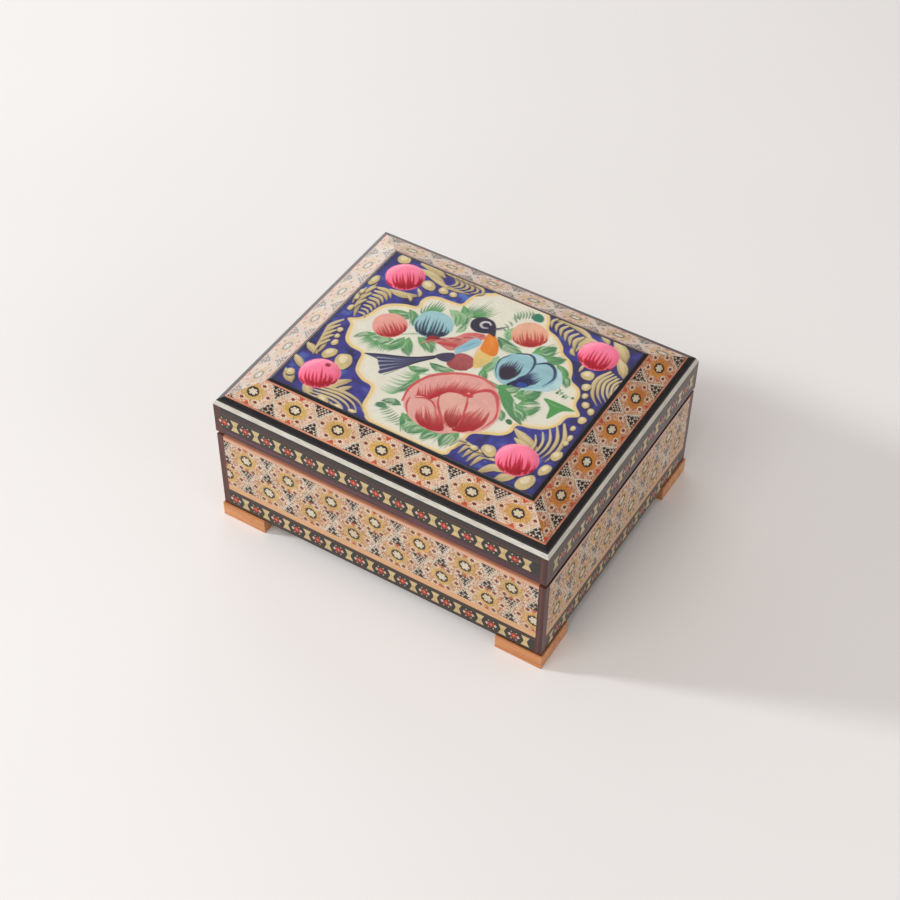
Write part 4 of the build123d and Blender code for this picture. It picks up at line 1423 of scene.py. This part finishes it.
def pad(name, node, body, crown, swell, down=False):
    """A thin velvet-covered pad in its CAD solid's space, crowned and tucked in at its edge."""
    low, high = node_box(node)
    half_x, half_y = (high.x - low.x) / 2, (high.y - low.y) / 2
    cx, cy, thick = (high.x + low.x) / 2, (high.y + low.y) / 2, high.z - low.z
    corners = []
    for j in range(PAD_ROWS):
        for i in range(PAD_COLS):
            u, v = i / (PAD_COLS - 1) * 2 - 1, j / (PAD_ROWS - 1) * 2 - 1
            u, v = math.copysign(abs(u) ** 0.8, u), math.copysign(abs(v) ** 0.8, v)
            edge = min(half_x * (1 - abs(u)), half_y * (1 - abs(v)))
            roll = min(edge / swell, 1.0)
            round_off = math.sqrt(max(1 - (1 - roll) ** 2, 0))
            soft = 0.10 * math.sin(u * 5.1 + v * 2.2) + 0.08 * math.cos(v * 6.3 - u * 1.7)
            rise = thick * (0.45 + 0.4 * round_off) + crown * (1 - u * u) * (1 - v * v)
            rise = min(rise + soft * roll * 0.5, thick)
            z = high.z - rise if down else low.z + rise
            corners.append(Vector((cx + half_x * u, cy + half_y * v, z)) * MM)
    faces = [tuple(face) for face in grid_faces(PAD_COLS, PAD_ROWS)]
    grid = np.arange(PAD_COLS * PAD_ROWS).reshape(PAD_ROWS, PAD_COLS)
    border = [*grid[0, :-1], *grid[:-1, -1], *grid[-1, :0:-1], *grid[:0:-1, 0]]
    start, flat = len(corners), high.z if down else low.z
    for k in border:
        corners.append(Vector((corners[k].x, corners[k].y, flat * MM)))
    for k in range(len(border)):
        n = (k + 1) % len(border)
        faces.append((border[k], start + k, start + n, border[n]))
    faces.append(tuple(range(start, start + len(border)))[::-1])
    if down:
        faces = [face[::-1] for face in faces]
    piece = mesh_piece(name, corners, faces, body, velvet_look)
    smooth(piece)
    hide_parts(node)


def lining(name, node, body, strips, down=False):
    """Velvet over card along the walls: each strip has a soft rounded edge on top or below."""
    corners, faces = [], []
    for low, high in strips:
        size = high - low
        lengthwise, thin = (0, 1) if size.x > size.y else (1, 0)
        half, tall = size[thin] / 2, size.z
        arc = [math.pi * k / ROUND_STEPS for k in range(ROUND_STEPS + 1)]
        section = [(half * math.cos(a), tall - half + half * math.sin(a)) for a in arc]
        section += [(-half, tall * 0.5), (-half, 0.0), (half, 0.0), (half, tall * 0.5)]
        start, ring = len(corners), len(section)
        for m in range(STRIP_STEPS + 1):
            wave = 0.05 * math.sin(m * 0.9) + 0.04 * math.sin(m * 0.37 + 1)
            for across_it, up in section:
                if up > tall * 0.6:
                    up -= 0.04 + abs(wave)
                point = Vector((0, 0, high.z - up if down else low.z + up))
                point[lengthwise] = low[lengthwise] + size[lengthwise] * m / STRIP_STEPS
                point[thin] = (low[thin] + high[thin]) / 2 + across_it * (0.94 + wave * 0.6)
                corners.append(point * MM)
        for m in range(STRIP_STEPS):
            a, b = start + m * ring, start + (m + 1) * ring
            for k in range(ring):
                n = (k + 1) % ring
                faces.append((a + k, a + n, b + n, b + k))
        faces.append(tuple(start + k for k in range(ring))[::-1])
        faces.append(tuple(start + STRIP_STEPS * ring + k for k in range(ring)))
    piece = mesh_piece(name, corners, faces, body, velvet_look)
    with reworked(piece) as work:
        bmesh.ops.recalc_face_normals(work, faces=work.faces[:])
    smooth(piece)
    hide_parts(node)


def rail_strips():
    """The four strips on the lid's rails, from the box round all of them."""
    low, high = node_box("lid_lining_sides")
    strips = []
    for way in (-1, 1):
        near, far = sorted((way * high.y, way * (high.y - lining_thickness)))
        strips.append((Vector((low.x, near, low.z)), Vector((high.x, far, high.z))))
        near, far = sorted((way * high.x, way * (high.x - lining_thickness)))
        strips.append((Vector((near, low.y + lining_thickness, low.z)),
                       Vector((far, high.y - lining_thickness, high.z))))
    return strips


pad("velvet_floor", "base_lining_floor", "base", 0.12, 2.2)
pad("velvet_lid_pad", "lid_lining_pad", "lid", 0.5, 3.0, down=True)
for side in SIDES:
    node = f"base_lining_{side}"
    lining(f"velvet_wall_{side}", node, "base", [node_box(node)])
lining("velvet_lid_sides", "lid_lining_sides", "lid", rail_strips(), down=True)


# Floor, light and camera, in metres and degrees

FLOOR_REACH = 3.0
CAMERA_PLACE = (0.2024, -0.3418, 0.4383)
CAMERA_TURN, CAMERA_LIFT, CAMERA_ROLL = 31.013, 46.47, 0.8
CAMERA_LENS = 70.15


def stage():
    """A pale seamless floor with a soft uneven tone."""
    mesh = bpy.data.meshes.new("floor")
    corners = [(FLOOR_REACH * x, FLOOR_REACH * y, 0) for x, y in ((-1, -1), (1, -1), (1, 1), (-1, 1))]
    mesh.from_pydata(corners, [], [(0, 1, 2, 3)])
    floor = bpy.data.objects.new("floor", mesh)
    bpy.context.scene.collection.objects.link(floor)
    look = Look("floor_paper", Roughness=0.5, Specular_IOR_Level=0.12)
    tone = look.noise(look.add("TexCoord").outputs["Object"], 3.0, 2)
    colour = look.tones(tone, (0.3, 230, 230, 230), (0.7, 235, 235, 236))
    look.tree.links.new(colour, look.shader.inputs["Base Color"])
    mesh.materials.append(look.material)


def lamp(name, place, aim, size, power, colour, height=None):
    light = bpy.data.lights.new(name, "AREA")
    light.shape = "RECTANGLE" if height else "DISK"
    light.size, light.size_y = size, height or size
    light.energy, light.color = power, colour
    made = bpy.data.objects.new(name, light)
    made.location = place
    made.rotation_mode = "QUATERNION"
    made.rotation_quaternion = (Vector(aim) - Vector(place)).to_track_quat("-Z", "Y")
    bpy.context.scene.collection.objects.link(made)


def world():
    made = bpy.data.worlds.new("studio")
    made.use_nodes = True
    back = made.node_tree.nodes["Background"]
    back.inputs["Color"].default_value = rgba(srgb(250, 241, 235))
    back.inputs["Strength"].default_value = 0.5
    bpy.context.scene.world = made


def camera():
    """The photograph's own view, from above the right end of the front."""
    turn, lift, roll = map(math.radians, (CAMERA_TURN, CAMERA_LIFT, CAMERA_ROLL))
    back = Vector((math.sin(turn) * math.cos(lift), -math.cos(turn) * math.cos(lift), math.sin(lift)))
    level = (-back).cross(UP).normalized()
    upright = level.cross(-back)
    right = level * math.cos(roll) + upright * math.sin(roll)
    up = -level * math.sin(roll) + upright * math.cos(roll)
    data = bpy.data.cameras.new("photo_view")
    data.lens, data.sensor_width = CAMERA_LENS, 36.0
    data.clip_start, data.clip_end = 0.01, 20.0
    made = bpy.data.objects.new("photo_view", data)
    basis = Matrix((right, up, back)).transposed().to_4x4()
    made.matrix_world = Matrix.Translation(CAMERA_PLACE) @ basis
    bpy.context.scene.collection.objects.link(made)
    bpy.context.scene.camera = made


stage()
world()
lamp("key", (-1.75, -0.74, 0.80), (0, 0, 0.03), 0.30, 26.0, (0.95, 0.98, 1.0))
lamp("fill", (-0.15, -0.85, 1.1), (0, 0, 0), 1.0, 7.0, (1.0, 0.97, 0.94))
lamp("window", (-1.05, 1.15, 0.38), (0, 0, 0.05), 1.5, 7.0, (1.0, 0.99, 0.98), 0.55)
lamp("bounce", (1.2, -0.2, 0.5), (0, 0, 0.02), 0.8, 2.2, (1.0, 0.93, 0.85))
camera()
bpy.context.scene.view_settings.view_transform = "Standard"
